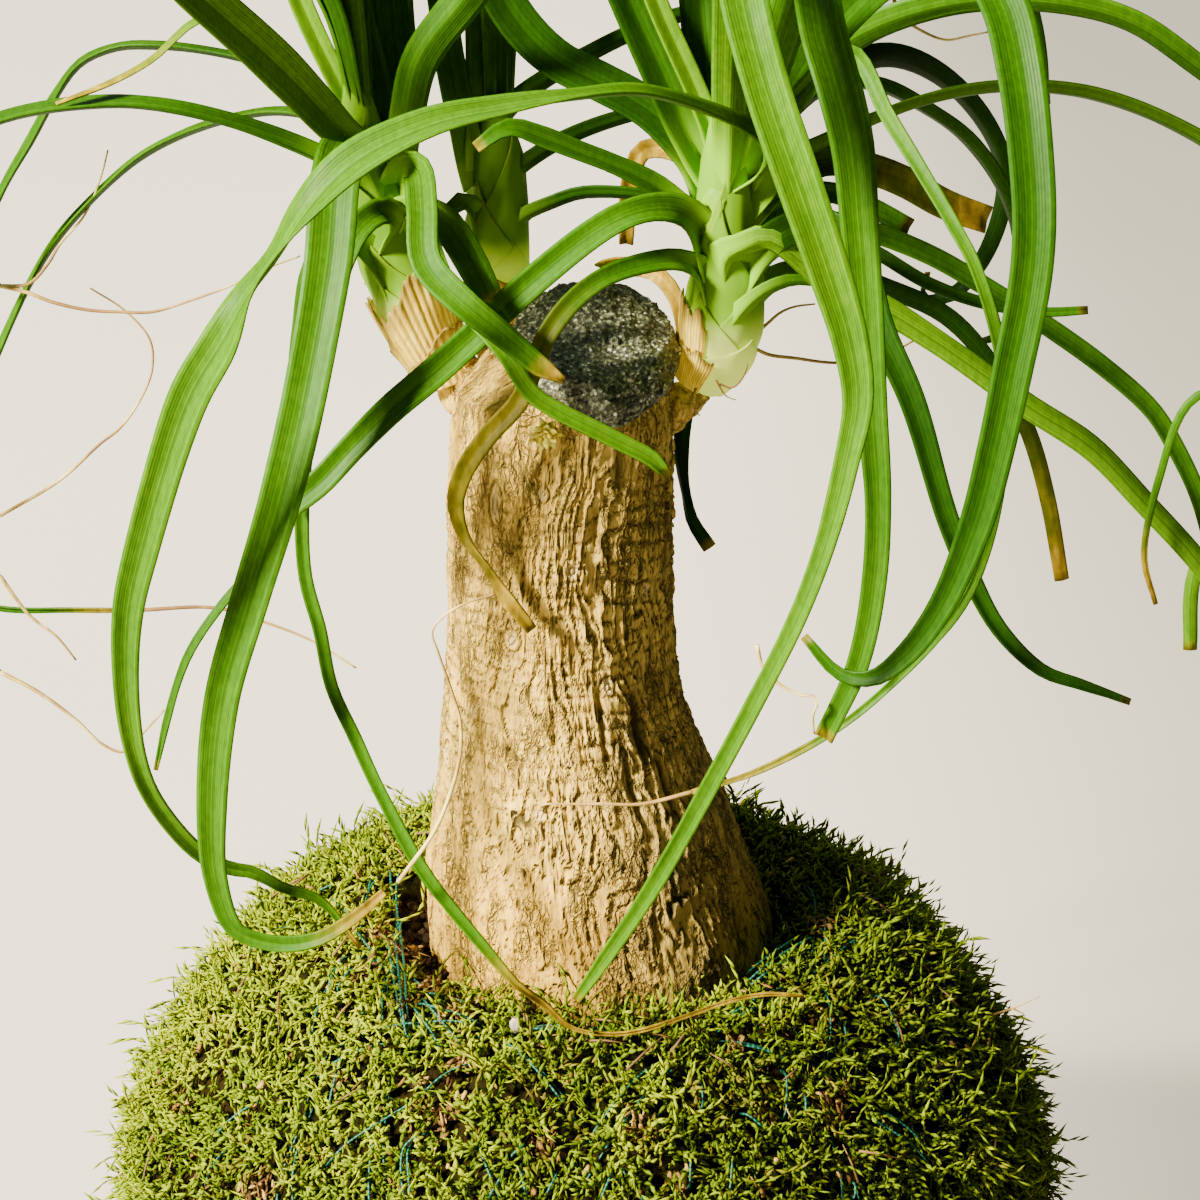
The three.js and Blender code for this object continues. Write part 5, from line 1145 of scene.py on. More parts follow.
CLASPS = {  # bearing, half width, low, high, out
    "left": [(-60, 150, 0.02, 0.30, 0.9), (-120, 160, 0.05, 0.46, 0.7), (-20, 160, 0.10, 0.60, 0.5),
             (-150, 160, 0.15, 0.74, 0.4), (-70, 170, 0.2, 0.92, 0.2)],
    "back": [(-60, 150, 0.02, 0.42, 0.7), (-130, 160, 0.1, 0.66, 0.4), (-40, 170, 0.2, 0.9, 0.2)],
    "right": [(-50, 150, 0.02, 0.34, 0.9), (-130, 150, 0.06, 0.5, 0.7), (-30, 160, 0.10, 0.62, 0.5),
              (-100, 160, 0.16, 0.76, 0.3), (-70, 170, 0.2, 0.94, 0.2)],
}
for side, clasps in CLASPS.items():
    axis = HEADS[side]["axis"]
    bm = layered_bmesh(LEAF_LAYERS)
    places = np.linspace(0, 1, 60)
    at, *_, radius = shoot_frames(axis, places * (len(axis) - 1))
    add_tube(bm, at, radius * 0.97, 40, side=0.3, tone=0.2, brown=0.0, pale=list(foot_paleness(places)))
    for number, clasp in enumerate(clasps):
        add_rolled_sheet(bm, axis, *clasp, flare=0.5, torn=0.0, seed=number + 2.5, layers=foot_values)
    piece = finish_piece(f"{side}_clasping_feet", metre_mesh(bm, f"{side}_feet"), leaf_paint, "leaf",
                         f"{side}_leaf_head")
    thicken(piece, FOOT_THICKNESS)

# %% [markdown]
# The dry sheaths are straw brown with pleats and long fibres, and darker at their rough torn lips. They are
# paper-thin, so light comes through: a faint glow of their own colour stands in for it.

# %% The papery sheaths
husk_paint, tree, shader = new_material("papery_sheath", roughness=0.75)
lines = veins_of(tree, 62)
fibres = object_noise(tree, 500, (1, 1, 0.2), detail=5.0, roughness=0.7)
dry = ramp(tree, fibres, (0.3, (0.50, 0.31, 0.016)), (0.5, (0.90, 0.63, 0.046)), (0.72, (1.0, 0.84, 0.20)))
dry = mix(tree, scaled(tree, lines.outputs["Veins"], 0.4), dry, (0.16, 0.085, 0.008))
dry = mix(tree, scaled(tree, attribute(tree, "brown"), 0.7), dry, (0.035, 0.016, 0.003))
paint(tree, shader, dry)
tree.links.new(mix(tree, 1.0, dry, (0.27, 0.25, 0.08), "MULTIPLY"), shader.inputs["Emission Color"])
shader.inputs["Emission Strength"].default_value = 1.0
bump(tree, shader, arithmetic(tree, "ADD", lines.outputs["Veins"], fibres), 0.6, 0.0005)

SHEATHS = {  # bearing, half width, low, high, out, flare, torn
    "left": [(-48, 100, 0.02, 0.50, 1.7, 1.8, 0.30), (-35, 150, 0.0, 0.26, 1.5, 1.2, 0.22),
             (170, 60, 0.03, 0.45, 1.5, 1.0, 0.35), (-80, 150, 0.0, 0.16, 2.1, 0.8, 0.25)],
    "back": [(-100, 150, 0.0, 0.26, 1.2, 1.2, 0.3), (-40, 120, 0.0, 0.2, 1.5, 1.2, 0.3)],
    "right": [(196, 50, 0.0, 0.50, 1.3, 0.8, 0.25), (225, 40, 0.0, 0.25, 1.8, 1.0, 0.25),
              (120, 90, 0.0, 0.36, 1.5, 1.2, 0.3)],
}
for side, sheaths in SHEATHS.items():
    bm = layered_bmesh(("side", "brown"))
    for number, sheath in enumerate(sheaths):
        add_rolled_sheet(bm, HEADS[side]["axis"], *sheath, seed=number + 31.5, columns=90, rows=26,
                         layers=lambda s, v, place: {"side": s, "brown": max(0, v - 0.8) / 0.2})
    piece = finish_piece(f"{side}_papery_sheaths", metre_mesh(bm, f"{side}_sheaths"), husk_paint, "husk",
                         f"{side}_husks")
    thicken(piece, SHEATH_THICKNESS)

# %% [markdown]
# ## Dry leaf ends
# Some leaves run out into dry threads, brown to cream, that hook back, drop onto the moss or stroke the trunk.
# Thinner rootlets and twigs stick out near the shoots' feet and at the side of the ball. Their points are given
# as the leaves' are: across and up in the view, and the real depth y.

# %% The thread-like ends
DRY_ENDS = [
    [(-50.5, -70.5, -74), (-41.7, -58.3, -74), (-38, -50, -74), (-35, -39, -74), (-35, -30, -74), (-37, -23, -74),
     (-40.5, -13, -74), (-42, -8, -74), (-39, -4, -74), (-34, -1, -74), (-26, 1.5, -73)],
    [(-115, -2.5, 14), (-96, -2, 12), (-84, -5.5, 9), (-72.5, -10, 6), (-61, -17, 4)],
    [(-150, 21, 54), (-135, 30, 55), (-125, 39, 56), (-120, 43, 56), (-115, 50, 57), (-112, 57.5, 57),
     (-112.5, 65, 57), (-119, 72.5, 57), (-127.5, 78, 57)],
    [(-150, 6, -24), (-142.5, -4, -24), (-136, -9, -24), (-131, -15, -24)],
    [(-150, -18, -34), (-140.5, -23, -34), (-131, -30, -34), (-124.5, -36, -34), (-119, -38, -34), (-114, -33, -34),
     (-109, -27.5, -34)],
    [(-150, 78.5, 46), (-143.5, 77, 45), (-137, 74.5, 44), (-128, 72.5, 43), (-119.5, 72, 42), (-112, 72, 42),
     (-102, 75, 41), (-92.5, 78.5, 40), (-83, 83, 40), (-75, 86, 40)],
    [(-150, 78.5, 46), (-143, 79, 46), (-138, 84, 46), (-135, 89, 47), (-129, 96, 47), (-125, 105, 48),
     (-123, 112.5, 48)],
    [(23, -48, -74), (10.5, -51, -73), (1, -51, -73), (-14, -51, -73)],
    [(73, 154, 18), (73.5, 150, 18), (76.5, 145, 18), (81, 142, 18), (86.5, 140, 18), (92, 141, 18), (97, 142, 18)],
    [(36, 66, -3), (37.8, 66, -2), (41.5, 68.8, 0), (45, 71.8, 0), (48.5, 73.3, 0), (53.8, 74, 0)],
    [(34, 63, -2), (37, 63.5, 0), (42.3, 61.3, 2), (48.5, 60.5, 3), (58.8, 59.3, 3), (70, 60.5, 3), (78.8, 65, 3)],
    [(39.3, -11.3, -85), (40.5, -16.3, -85), (44.5, -20.8, -86), (50, -23.8, -87), (53.3, -24, -87),
     (54.3, -26, -87), (53.3, -28.5, -86), (53.5, -33.5, -86)],
]
ROOTLETS = [
    [(30, 54, -14), (33, 53, -16), (36, 56, -18), (37, 59, -19)], [(29, 55, -14), (31.5, 51, -16), (34, 50, -17)],
    [(24, 53, -15), (23, 49, -17), (25, 46, -18)], [(-34, 64, -6), (-35, 60, -9), (-33, 57, -10)],
    [(-29, 66, -6), (-27.5, 62, -9), (-29, 60, -10)], [(-58.8, 79.3, 2), (-50, 72, -2), (-42.5, 62.5, -4)],
    [(-58, 74, 4), (-52, 70, 0), (-46, 61, -3)],
    [(97, -104, -12), (102, -102.5, -12), (107, -100.5, -12), (110, -99, -12)],
    [(103, -102, -12), (106, -103.5, -12)],
]
bm = bmesh.new()
for thickness, threads in ((0.55, DRY_ENDS), (0.32, ROOTLETS)):
    for points in threads:
        path = even_curve([on_sight(*point) for point in points], 1.5)[0]
        add_tube(bm, path, thickness * np.linspace(1, 0.45, len(path)), 6)
dry_paint = mottled_material("dry_leaf_end", 0.7, {"scale": 60, "detail": 5.0}, (
    (0.35, (0.17, 0.08, 0.008)), (0.5, (0.42, 0.26, 0.05)), (0.62, (0.85, 0.66, 0.20))), (0.4, 0.0002))
finish_piece("dry_leaf_ends", metre_mesh(bm, "dry_ends"), dry_paint, "husk")

# %% [markdown]
# ## The ball
# The ball is a slightly flattened sphere with a dip round the trunk. One function gives any point of its
# surface, moved out or in: the soil, the moss and the thread all use it. Others turn a place in the view or in
# space back into a bearing and an angle from the top. Two lists give patches that differ from the live moss:
# where brown litter lies on it, and where it is older and darker.

# %% The ball's surface
BALL_RADIUS = 121.5
BALL_HALF_HEIGHT = 101.5
BALL_CENTRE_Z = 92
BALL_CENTRE = np.array([0, 0, BALL_CENTRE_Z])
LUMP = 2.4
HOLLOW_DEPTH = 13
HOLLOW_RADIUS = 58
MOSS_THICKNESS = 9
OPENING_X, OPENING_RADIUS = 4, 46
OPENING_WIDER = 8
FLOOR_GAP = 0.4            # nothing of the ball comes nearer to the floor
LITTER = [  # brown patches: across and up in the view, radius in mm
    (-59, -91, 5), (-40, -92, 7), (-43, -84, 6), (-50, -80, 5), (-47, -99, 5), (-33, -99, 5), (-35, -115, 4.5),
    (-40, -127, 6), (-45, -121, 3), (-14, -136, 4.5), (-86, -147, 8), (-90, -90, 4), (49, -77, 6),
    (54.5, -104, 4.5), (59, -125, 6), (33, -108.5, 3.5), (42, -129, 3.5), (10, -132, 5), (-66, -120, 3.5),
    (-105, -125, 5), (20, -145, 4),
]
OLDER_MOSS = [(0, -105, 13), (-17, -127, 12), (36, -127, 13), (66, -96, 12)]   # written the same way


def ball_point(bearing, from_top, out, lump=LUMP):
    flat = np.sin(from_top)
    swell = lump * flat ** 2 * (0.5 * np.sin(3 * bearing + 1.2) * np.sin(2 * from_top + 0.4)
                                + 0.4 * np.sin(5 * bearing + 0.5 + 3 * from_top)
                                + 0.4 * np.cos(7 * bearing - 4 * from_top))
    x = (BALL_RADIUS + out + swell) * flat * np.cos(bearing)
    y = (BALL_RADIUS + out + swell) * flat * np.sin(bearing)
    from_trunk = np.hypot(x - OPENING_X, y - TRUNK_Y) / HOLLOW_RADIUS
    hollow = np.where(from_top < math.pi / 2, HOLLOW_DEPTH * np.exp(-(from_trunk ** 6)), 0)
    z = BALL_CENTRE_Z + (BALL_HALF_HEIGHT + out + swell) * np.cos(from_top) - hollow
    return np.stack([x, y, z], axis=-1)


def in_opening(points):
    """How far inside the moss's opening a point is: below 1 is inside."""
    x, y = points[..., 0] - OPENING_X, points[..., 1] - TRUNK_Y
    angle = np.arctan2(y, x)
    radius = OPENING_RADIUS + OPENING_WIDER * np.maximum(0, np.cos(angle - math.pi * 1.08)) ** 2
    return np.hypot(x, y) / (radius + 1.6 * np.sin(9 * angle) + 1.2 * np.sin(17 * angle + 2))


def clump(points):
    """The moss grows in cushions about 8 mm wide, high in their middle; the fronds in their gaps get painted shade.
    """
    return field(points, 0.12, 5.0) + 0.35 * field(points, 0.05, 8.0)


def directions_of(points):
    """The bearing and the angle from the top at which points lie."""
    flat = np.hypot(points[:, 0], points[:, 1]) / BALL_RADIUS
    from_top = np.arctan2(flat, (points[:, 2] - BALL_CENTRE_Z) / BALL_HALF_HEIGHT)
    return np.arctan2(points[:, 1], points[:, 0]), from_top


def on_ball(across, up):
    """The first point of the ball that the camera meets at across and up, as bearing and from_top."""
    places = np.array([on_sight(across, up, y) for y in np.arange(-140, 60, 0.5)])
    bearing, from_top = directions_of(places)
    surface = np.linalg.norm(ball_point(bearing, from_top, 0) - BALL_CENTRE, axis=1)
    first = int(np.argmax(np.linalg.norm(places - BALL_CENTRE, axis=1) < surface))
    return bearing[first], from_top[first]


litter_places = [(ball_point(*on_ball(across, up), -2), radius) for across, up, radius in LITTER]
older_places = [(ball_point(*on_ball(across, up), 0), radius) for across, up, radius in OLDER_MOSS]


def in_litter(points):
    """1 where brown litter lies on the moss, fading to 0 round it."""
    inside = np.zeros(len(points))
    for centre, radius in litter_places:
        far = np.linalg.norm(points - centre, axis=1) / radius + 0.5 * field(points, 0.25, 11.0)
        inside = np.maximum(inside, 1 - smooth_step(0.6, 1.2, far))
    return inside


def ball_mesh(name, rows, sides, shape):
    """A closed ball from its flat foot to its top, whose points shape(bearing, from_top) gives."""
    mesh = mesh_of(rolled_grid(range(rows + 1), sides), name)
    grid = points_of(mesh)
    ends = np.where(grid[:, 2] > rows / 2, 1e-5, math.pi)
    from_top = np.where(np.hypot(grid[:, 0], grid[:, 1]) < 0.5, ends, math.pi * (1 - grid[:, 2] / rows))
    points = shape(np.arctan2(grid[:, 1], grid[:, 0]), from_top)
    points[:, 2] = np.maximum(points[:, 2], FLOOR_GAP)
    move_points(mesh, points * MM)
    return mesh


def outward_of(points):
    return unit(points - BALL_CENTRE)

print("patches of litter:", len(litter_places), "and of older moss:", len(older_places))

# %% [markdown]
# Dark, damp soil fills the ball and shows in the dip round the trunk. Coarse and fine noise make it crumbly.

# %% The soil
def soil_shape(bearing, from_top):
    points = ball_point(bearing, from_top, -MOSS_THICKNESS, 0)
    lumps = 1.6 * field(points, 0.12) + 0.9 * field(points, 0.4, 3.0)
    return points + outward_of(points) * lumps[:, None]


soil_paint = mottled_material("damp_soil", 0.95, {"scale": 350, "detail": 6.0, "roughness": 0.7}, (
    (0.3, (0.006, 0.003, 0.001)), (0.52, (0.030, 0.016, 0.005)), (0.72, (0.09, 0.050, 0.016))), (1.0, 0.0015),
    Specular_IOR_Level=0.15)
finish_piece("soil_ball_crumbs", ball_mesh("soil", 84, 180, soil_shape), soil_paint, "soil", "soil_ball")

# %% [markdown]
# ## The moss
# The moss is a mat of short branched fronds, a few millimetres deep. Under the fronds lies a matted surface,
# so no gap shows through. Its near-black colour is partly the old mat and partly painted shade between the
# fronds. It dips to nothing at the opening round the trunk.

# %% The matted layer under the fronds
def mat_shape(bearing, from_top):
    points = ball_point(bearing, from_top, -3.8)
    inside = 1 - smooth_step(0.93, 1.07, in_opening(points))
    lumps = 2.0 * clump(points) + 0.7 * field(points, 0.30, 7.0) + 0.5 * field(points, 0.8, 1.0)
    move = lumps - np.where(from_top < 1.2, 11 * inside, 0)
    return points + outward_of(points) * move[:, None]


mat_and_shade_paint, tree, shader = new_material("moss_mat_and_shade", roughness=0.95, Specular_IOR_Level=0.05)
tangle = object_noise(tree, 260, detail=6.0, roughness=0.75)
patches = object_noise(tree, 30, detail=3.0)
# near-black: the old mat and painted shade deep between the fronds
shade_dark = ramp(tree, tangle, (0.35, (0.002, 0.002, 0.0005)), (0.55, (0.010, 0.010, 0.001)), (0.75, (0.03, 0.032, 0.002)))
earthy = mix(tree, 0.4, shade_dark, (0.035, 0.017, 0.004))
paint(tree, shader, mix(tree, ramp(tree, patches, (0.4, grey(0)), (0.6, grey(1))), shade_dark, earthy))
bump(tree, shader, tangle, 1.0, 0.002)
finish_piece("moss_mat_and_shade", ball_mesh("mat", 110, 230, mat_shape), mat_and_shade_paint, "moss", "moss_cover")

# %% [markdown]
# ## The thread
# Green-blue thread is wound round and round the ball and drawn tight, so it sinks into the moss and shows
# only in stretches. Each winding is a ring that misses the top and the foot, and two strands run side by side.
# The stretches that the photograph shows are listed as well: each lies on the moss and dives in at its ends.

# %% The windings
THREAD_RADIUS = 0.3
WINDINGS = [  # bearing, degrees clear of the top, and of the foot
    (180, 24, 29), (168, 27, 31), (222, 30, 29), (266, 31, 29), (318, 31, 28), (2, 29, 30), (96, 27, 30),
]
STRANDS = [(0.0, 0.0, 0.0), (2.6, 0.8, 0.4)]   # how each strand differs: degrees round, lean, mm deeper
WINDING_STEPS = 220
DIVES = 13                                     # how often a winding sinks into the moss on its way round


def winding_path(bearing, clear_top, clear_foot, out):
    tilt = math.radians((clear_foot - clear_top) / 2)
    spread = math.radians(90 - (clear_top + clear_foot) / 2)
    turn = math.radians(bearing)
    middle = np.array([math.cos(turn) * math.cos(tilt), math.sin(turn) * math.cos(tilt), math.sin(tilt)])
    level = np.array([-math.sin(turn), math.cos(turn), 0])
    steep = np.cross(middle, level)
    angle = np.linspace(0, 2 * math.pi, WINDING_STEPS)[:, None]
    way = middle * math.cos(spread) + (level * np.cos(angle) + steep * np.sin(angle)) * math.sin(spread)
    from_top = np.arccos(np.clip(way[:, 2], -1, 1))
    return ball_point(np.arctan2(way[:, 1], way[:, 0]), from_top, out)


thread_paths = []
for bearing, clear_top, clear_foot in WINDINGS:
    for turn, lean, deep in STRANDS:
        dive = np.linspace(0, 2 * math.pi, WINDING_STEPS) * DIVES + bearing * 3 + turn * 2
        out = -2.5 - deep + 2.4 * np.sin(dive)
        path = winding_path(bearing + turn, clear_top + lean, clear_foot - lean, out)
        path[:, 2] = np.maximum(path[:, 2], THREAD_RADIUS + 0.1)
        thread_paths.append(path)
SEEN_STRANDS = [  # stretches that lie on top of the moss: across and up in the view
    [(-48.5, -79), (-48.5, -98), (-47.5, -116)], [(-47, -77), (-47, -94), (-48, -107)],
    [(-50.5, -82), (-50, -95), (-48, -110)], [(-44, -96.5), (-30, -98.5)],
    [(-46, -99.5), (-38, -101.5), (-30, -103.5)], [(-55.5, -107), (-35, -104.5), (-30, -105.5)],
    [(-44, -97.5), (-36.5, -108), (-34, -111.5)], [(-46.5, -100.5), (-41.5, -108), (-40, -112)],
    [(-62.5, -88), (-68, -97.5)], [(-60.5, -91), (-66, -99)], [(-58, -102), (-60.5, -108)],
    [(-63.5, -112), (-66.5, -124), (-68, -129)],
    [(-29.5, -114), (-38, -118.5), (-46, -125.5), (-55, -131), (-62.5, -136), (-71, -144)],
    [(-43.5, -133), (-48.5, -137), (-49, -150)], [(-48, -136), (-47, -150)],
    [(-30.5, -136), (-27.5, -143), (-25, -150)], [(-23, -142), (-28, -150)], [(-18.5, -136), (-22.5, -139.5)],
    [(-20, -141), (-18, -150)], [(-10.5, -143), (-14, -150)], [(3, -143), (0, -150)], [(-71, -74), (-64.5, -71)],
    [(-67, -74.5), (-62, -78)], [(-60.5, -81), (-55.5, -87)], [(34, -91), (40.5, -86.5), (51.5, -81.5)],
    [(35.5, -91.5), (43, -87.5), (50, -84.5)], [(33, -89.5), (40, -85), (47, -81)], [(69, -98), (75, -111)],
    [(46, -117), (46, -130)], [(50.5, -123), (50.8, -129)], [(25, -120), (25.5, -127.5)],
    [(35.5, -128), (42, -133.5)], [(22.5, -139), (22, -147.5)], [(32.8, -138), (31.8, -149.5)],
    [(63, -145), (63, -150)],
]
for strand in SEEN_STRANDS:
    way = even_curve([ball_point(*on_ball(across, up), 0) for across, up in strand], 1.0)[0]
    rise = 1.1 - 3.2 * np.abs(np.linspace(-1, 1, len(way))) ** 5
    thread_paths.append(way + outward_of(way) * rise[:, None])
bm = layered_bmesh(["twist"])
for path in thread_paths:
    walked = np.concatenate([[0], np.cumsum(np.linalg.norm(np.diff(path, axis=0), axis=1))])
    add_tube(bm, path, THREAD_RADIUS, 5, twist=list(walked))
thread_paint, tree, shader = new_material("twisted_thread", roughness=0.5)
ply = ripples(tree, attribute(tree, "twist"), 5.0)
paint(tree, shader, ramp(tree, ply, (0.0, (0.0, 0.040, 0.028)), (1.0, (0.0, 0.15, 0.085))))
bump(tree, shader, ply, 0.6, 0.0002)
finish_piece("wound_thread", metre_mesh(bm, "thread"), thread_paint, "thread", "binding_thread")
thread_points = np.concatenate(thread_paths)
print("strands of thread:", len(thread_paths))

# %% [markdown]
# ## The fronds
# A frond is a thin stem with short side branches, like a tiny feather. Five kinds are modelled as rows of small
# eight-sided beads, and then repeated thousands of times. One helper gives the points and faces of any small
# shape, and the distance of each point from its foot as a tip value.

# %% A few kinds of frond
def shape_of(bm, length=0):
    """A shape of points, faces and tip values, which run from 0 at the foot to 1 at the given length."""
    mesh = mesh_of(bm, "shape")
    points = points_of(mesh)
    faces = [list(polygon.vertices) for polygon in mesh.polygons]
    bpy.data.meshes.remove(mesh)
    tips = np.clip(np.linalg.norm(points, axis=1) / length, 0, 1) if length else np.zeros(len(points))
    return points, faces, tips


def add_bead(bm, foot, way, reach, radius):
    turned = Vector(way).to_track_quat("X", "Z").to_matrix().to_4x4()
    place = Matrix.Translation(foot) @ turned @ Matrix.Translation((reach / 2, 0, 0)) \
        @ Matrix.Diagonal((reach / 2, radius, 0.8 * radius, 1))
    bmesh.ops.create_uvsphere(bm, u_segments=4, v_segments=2, radius=1, matrix=place)


def frond_shape(joints, branches, length, width, curl, bend, seed):
    """One frond along +X, lying on z = 0."""
    kind = np.random.default_rng(seed)
    bm = bmesh.new()
    step = length / joints
    for k in range(joints):
        radius = width * (1 - 0.35 * k / joints) * kind.uniform(0.75, 1.2)
        way = (1, kind.uniform(-0.3, 0.3), kind.uniform(-0.2, 0.3))
        add_bead(bm, (step * (k - 0.25), 0, 0), way, 1.6 * step, radius)
    for k in range(branches):
        sweep = kind.uniform(0.5, 1.1) * (1 if k % 2 else -1)
        way = (math.cos(sweep), math.sin(sweep), kind.uniform(-0.1, 0.5))
        add_bead(bm, (length * (0.15 + 0.6 * k / branches), 0, 0), way, kind.uniform(1.5, 2.6), 0.75 * width)
    bmesh.ops.recalc_face_normals(bm, faces=bm.faces)
    for vert in bm.verts:
        t = vert.co.x / length
        vert.co.z += curl * t * t * length
        vert.co.y += bend * length * math.sin(2.6 * t)
    return shape_of(bm, length)


FRONDS = [frond_shape(4, 2, 6.6, 0.64, 0.14, 0.32, 1), frond_shape(3, 2, 5.0, 0.70, 0.10, -0.34, 2),
          frond_shape(5, 3, 9.0, 0.62, 0.26, 0.42, 3), frond_shape(3, 1, 4.8, 0.62, 0.40, 0.3, 4),
          frond_shape(6, 1, 12.0, 0.55, 0.28, -0.5, 5)]
print("faces in each kind:", [len(faces) for _, faces, _ in FRONDS])

# %% [markdown]
# To repeat a shape is to move its points by many places and axes at once, and to write all copies into one
# mesh. The copies lie at random places, even all over the ball, and their axes follow the ball's surface.

# %% Repeat a shape many times
def repeat_shape(name, shape, places, frames, values):
    """Copies of a shape of (points, faces, tip values): frames are its three axes at each place, in mm."""
    points, faces, tips = shape
    moved = places[:, None, :] + np.einsum("pk,nkd->npd", points, frames)
    count, size = moved.shape[:2]
    loops = np.concatenate([np.array(face) for face in faces])
    sizes = np.array([len(face) for face in faces])
    mesh = bpy.data.meshes.new(name)
    mesh.vertices.add(count * size)
    mesh.loops.add(count * len(loops))
    mesh.polygons.add(count * len(sizes))
    mesh.vertices.foreach_set("co", (moved * MM).astype(np.float32).ravel())
    mesh.loops.foreach_set("vertex_index", (loops[None] + size * np.arange(count)[:, None]).astype(np.int32).ravel())
    starts = np.concatenate([[0], np.cumsum(np.tile(sizes, count))[:-1]])
    mesh.polygons.foreach_set("loop_start", starts.astype(np.int32))
    mesh.update(calc_edges=True)
    mesh.validate()
    add_attribute(mesh, "tone", np.repeat(values, size))
    add_attribute(mesh, "tip", np.tile(tips, count))
    return mesh


def scattered_directions(count, low, high, seed):
    """Even random places on the ball between two angles from the top, in degrees."""
    source = np.random.default_rng(seed)
    bearing = source.uniform(0, 2 * math.pi, count)
    cosines = source.uniform(math.cos(math.radians(high)), math.cos(math.radians(low)), count)
    return bearing, np.arccos(cosines), source


def surface_frames(bearing, from_top, out):
    """Points of the surface with the way down, the way round and the way out at each."""
    at = ball_point(bearing, from_top, out)
    step = 0.01
    down = unit(ball_point(bearing, from_top + step, out) - ball_point(bearing, from_top - step, out))
    level = unit(ball_point(bearing + step, from_top, out) - ball_point(bearing - step, from_top, out))
    return at, down, level, unit(np.cross(down, level))


tree_of_thread = kdtree.KDTree(len(thread_points))
for i, point in enumerate(thread_points):
    tree_of_thread.insert(point, i)
tree_of_thread.balance()
print("points of thread that press the fronds:", len(thread_points))

# %% [markdown]
# A frond's tone runs from brown and withered (0) through dark green to yellow-green (1). Its foot is darker
# and its tip lighter.

# %% The fronds' finish
moss_paint, tree, shader = new_material("moss_fronds", roughness=0.6, Specular_IOR_Level=0.04)
flecks = object_noise(tree, 700, detail=3.0)
tone = arithmetic(tree, "ADD", attribute(tree, "tone"), scaled(tree, flecks, 0.25))
body = ramp(tree, tone, (0.12, (0.16, 0.085, 0.022)), (0.27, (0.035, 0.022, 0.003)),
            (0.42, (0.013, 0.034, 0.0003)), (0.62, (0.056, 0.122, 0.0003)), (0.85, (0.175, 0.25, 0.0003)),
            (1.0, (0.32, 0.38, 0.001)))
darker, lighter = mix(tree, 0.45, body, (0.010, 0.010, 0.001)), mix(tree, 0.35, body, (0.28, 0.36, 0.0003))
paint(tree, shader, mix(tree, attribute(tree, "tip"), darker, lighter))
bump(tree, shader, flecks, 0.6, 0.0004)
print("finish of the fronds:", moss_paint.name)

# %% [markdown]
# Nine layers of fronds cover the ball, short dark ones lowest, longer and lighter ones on top. The fronds stand
# on the cushions, hang down at the right side and are pressed flat by the thread. Few grow under the ball. Their
# tone carries painted shade: darker to the right, away from the light, and in the gaps between the cushions.
# In old moss and litter more of them are brown.

# %% Lay the fronds
MOSS_BATCHES = [  # kind, count, lowest and highest degrees from the top, how far out, most lift, tone
    (0, 3000, 18, 150, -3.6, 20, -0.22), (1, 3600, 18, 150, -3.2, 25, -0.16), (0, 3200, 18, 138, -2.4, 40, 0.04),
    (1, 3600, 18, 138, -2.0, 45, 0.06), (3, 4000, 18, 138, -1.6, 70, 0.12), (2, 2500, 18, 134, -2.2, 40, 0.05),
    (3, 3800, 18, 134, -1.2, 75, 0.18), (1, 3500, 18, 134, -1.4, 60, 0.12), (4, 1900, 18, 130, -1.6, 40, 0.08),
]
CUSHION_HEIGHT = 2.2
FROND_REACH = 6            # mm from a frond's foot to about its tip


def frond_frames(at, down, level, normal, most_lift, source):
    """The axes of each frond, forward, sideways and up, as long as its size."""
    count = len(at)
    heading = source.uniform(-math.pi, math.pi, count)
    hanging = source.uniform(0, 1, count) < 0.55 * smooth_step(20, 100, at[:, 0])
    heading = np.where(hanging, source.normal(0, 0.6, count), heading)
    lift = np.radians(source.uniform(0, most_lift, count))
    size = source.uniform(0.7, 1.4, count)
    to_thread = np.array([tree_of_thread.find(point)[2] for point in at])
    lift *= 1 - 0.8 * (1 - smooth_step(0.8, 2.4, to_thread))
    forward = down * np.cos(heading)[:, None] + level * np.sin(heading)[:, None]
    forward = unit(forward * np.cos(lift)[:, None] + normal * np.sin(lift)[:, None])
    sideways = unit(np.cross(normal, forward))
    return np.stack([forward, sideways, np.cross(forward, sideways)], axis=1) * size[:, None, None]


def has_room(at, tips, bearing, from_top, source):
    """Fronds stay off the floor and out of the opening, a little less at its front."""
    front = np.exp(-((bearing + 1.7) / 0.45) ** 2) + np.exp(-((bearing - 4.58) / 0.45) ** 2)
    room = (in_opening(at) > 0.985 - 0.1 * front) & (in_opening(tips) > 0.93 - 0.12 * front)
    under = smooth_step(math.radians(106), math.radians(118), from_top)
    return room & (at[:, 2] > 2.5) & (tips[:, 2] > 1.0) & (source.uniform(0, 1, len(at)) > 0.5 * under)


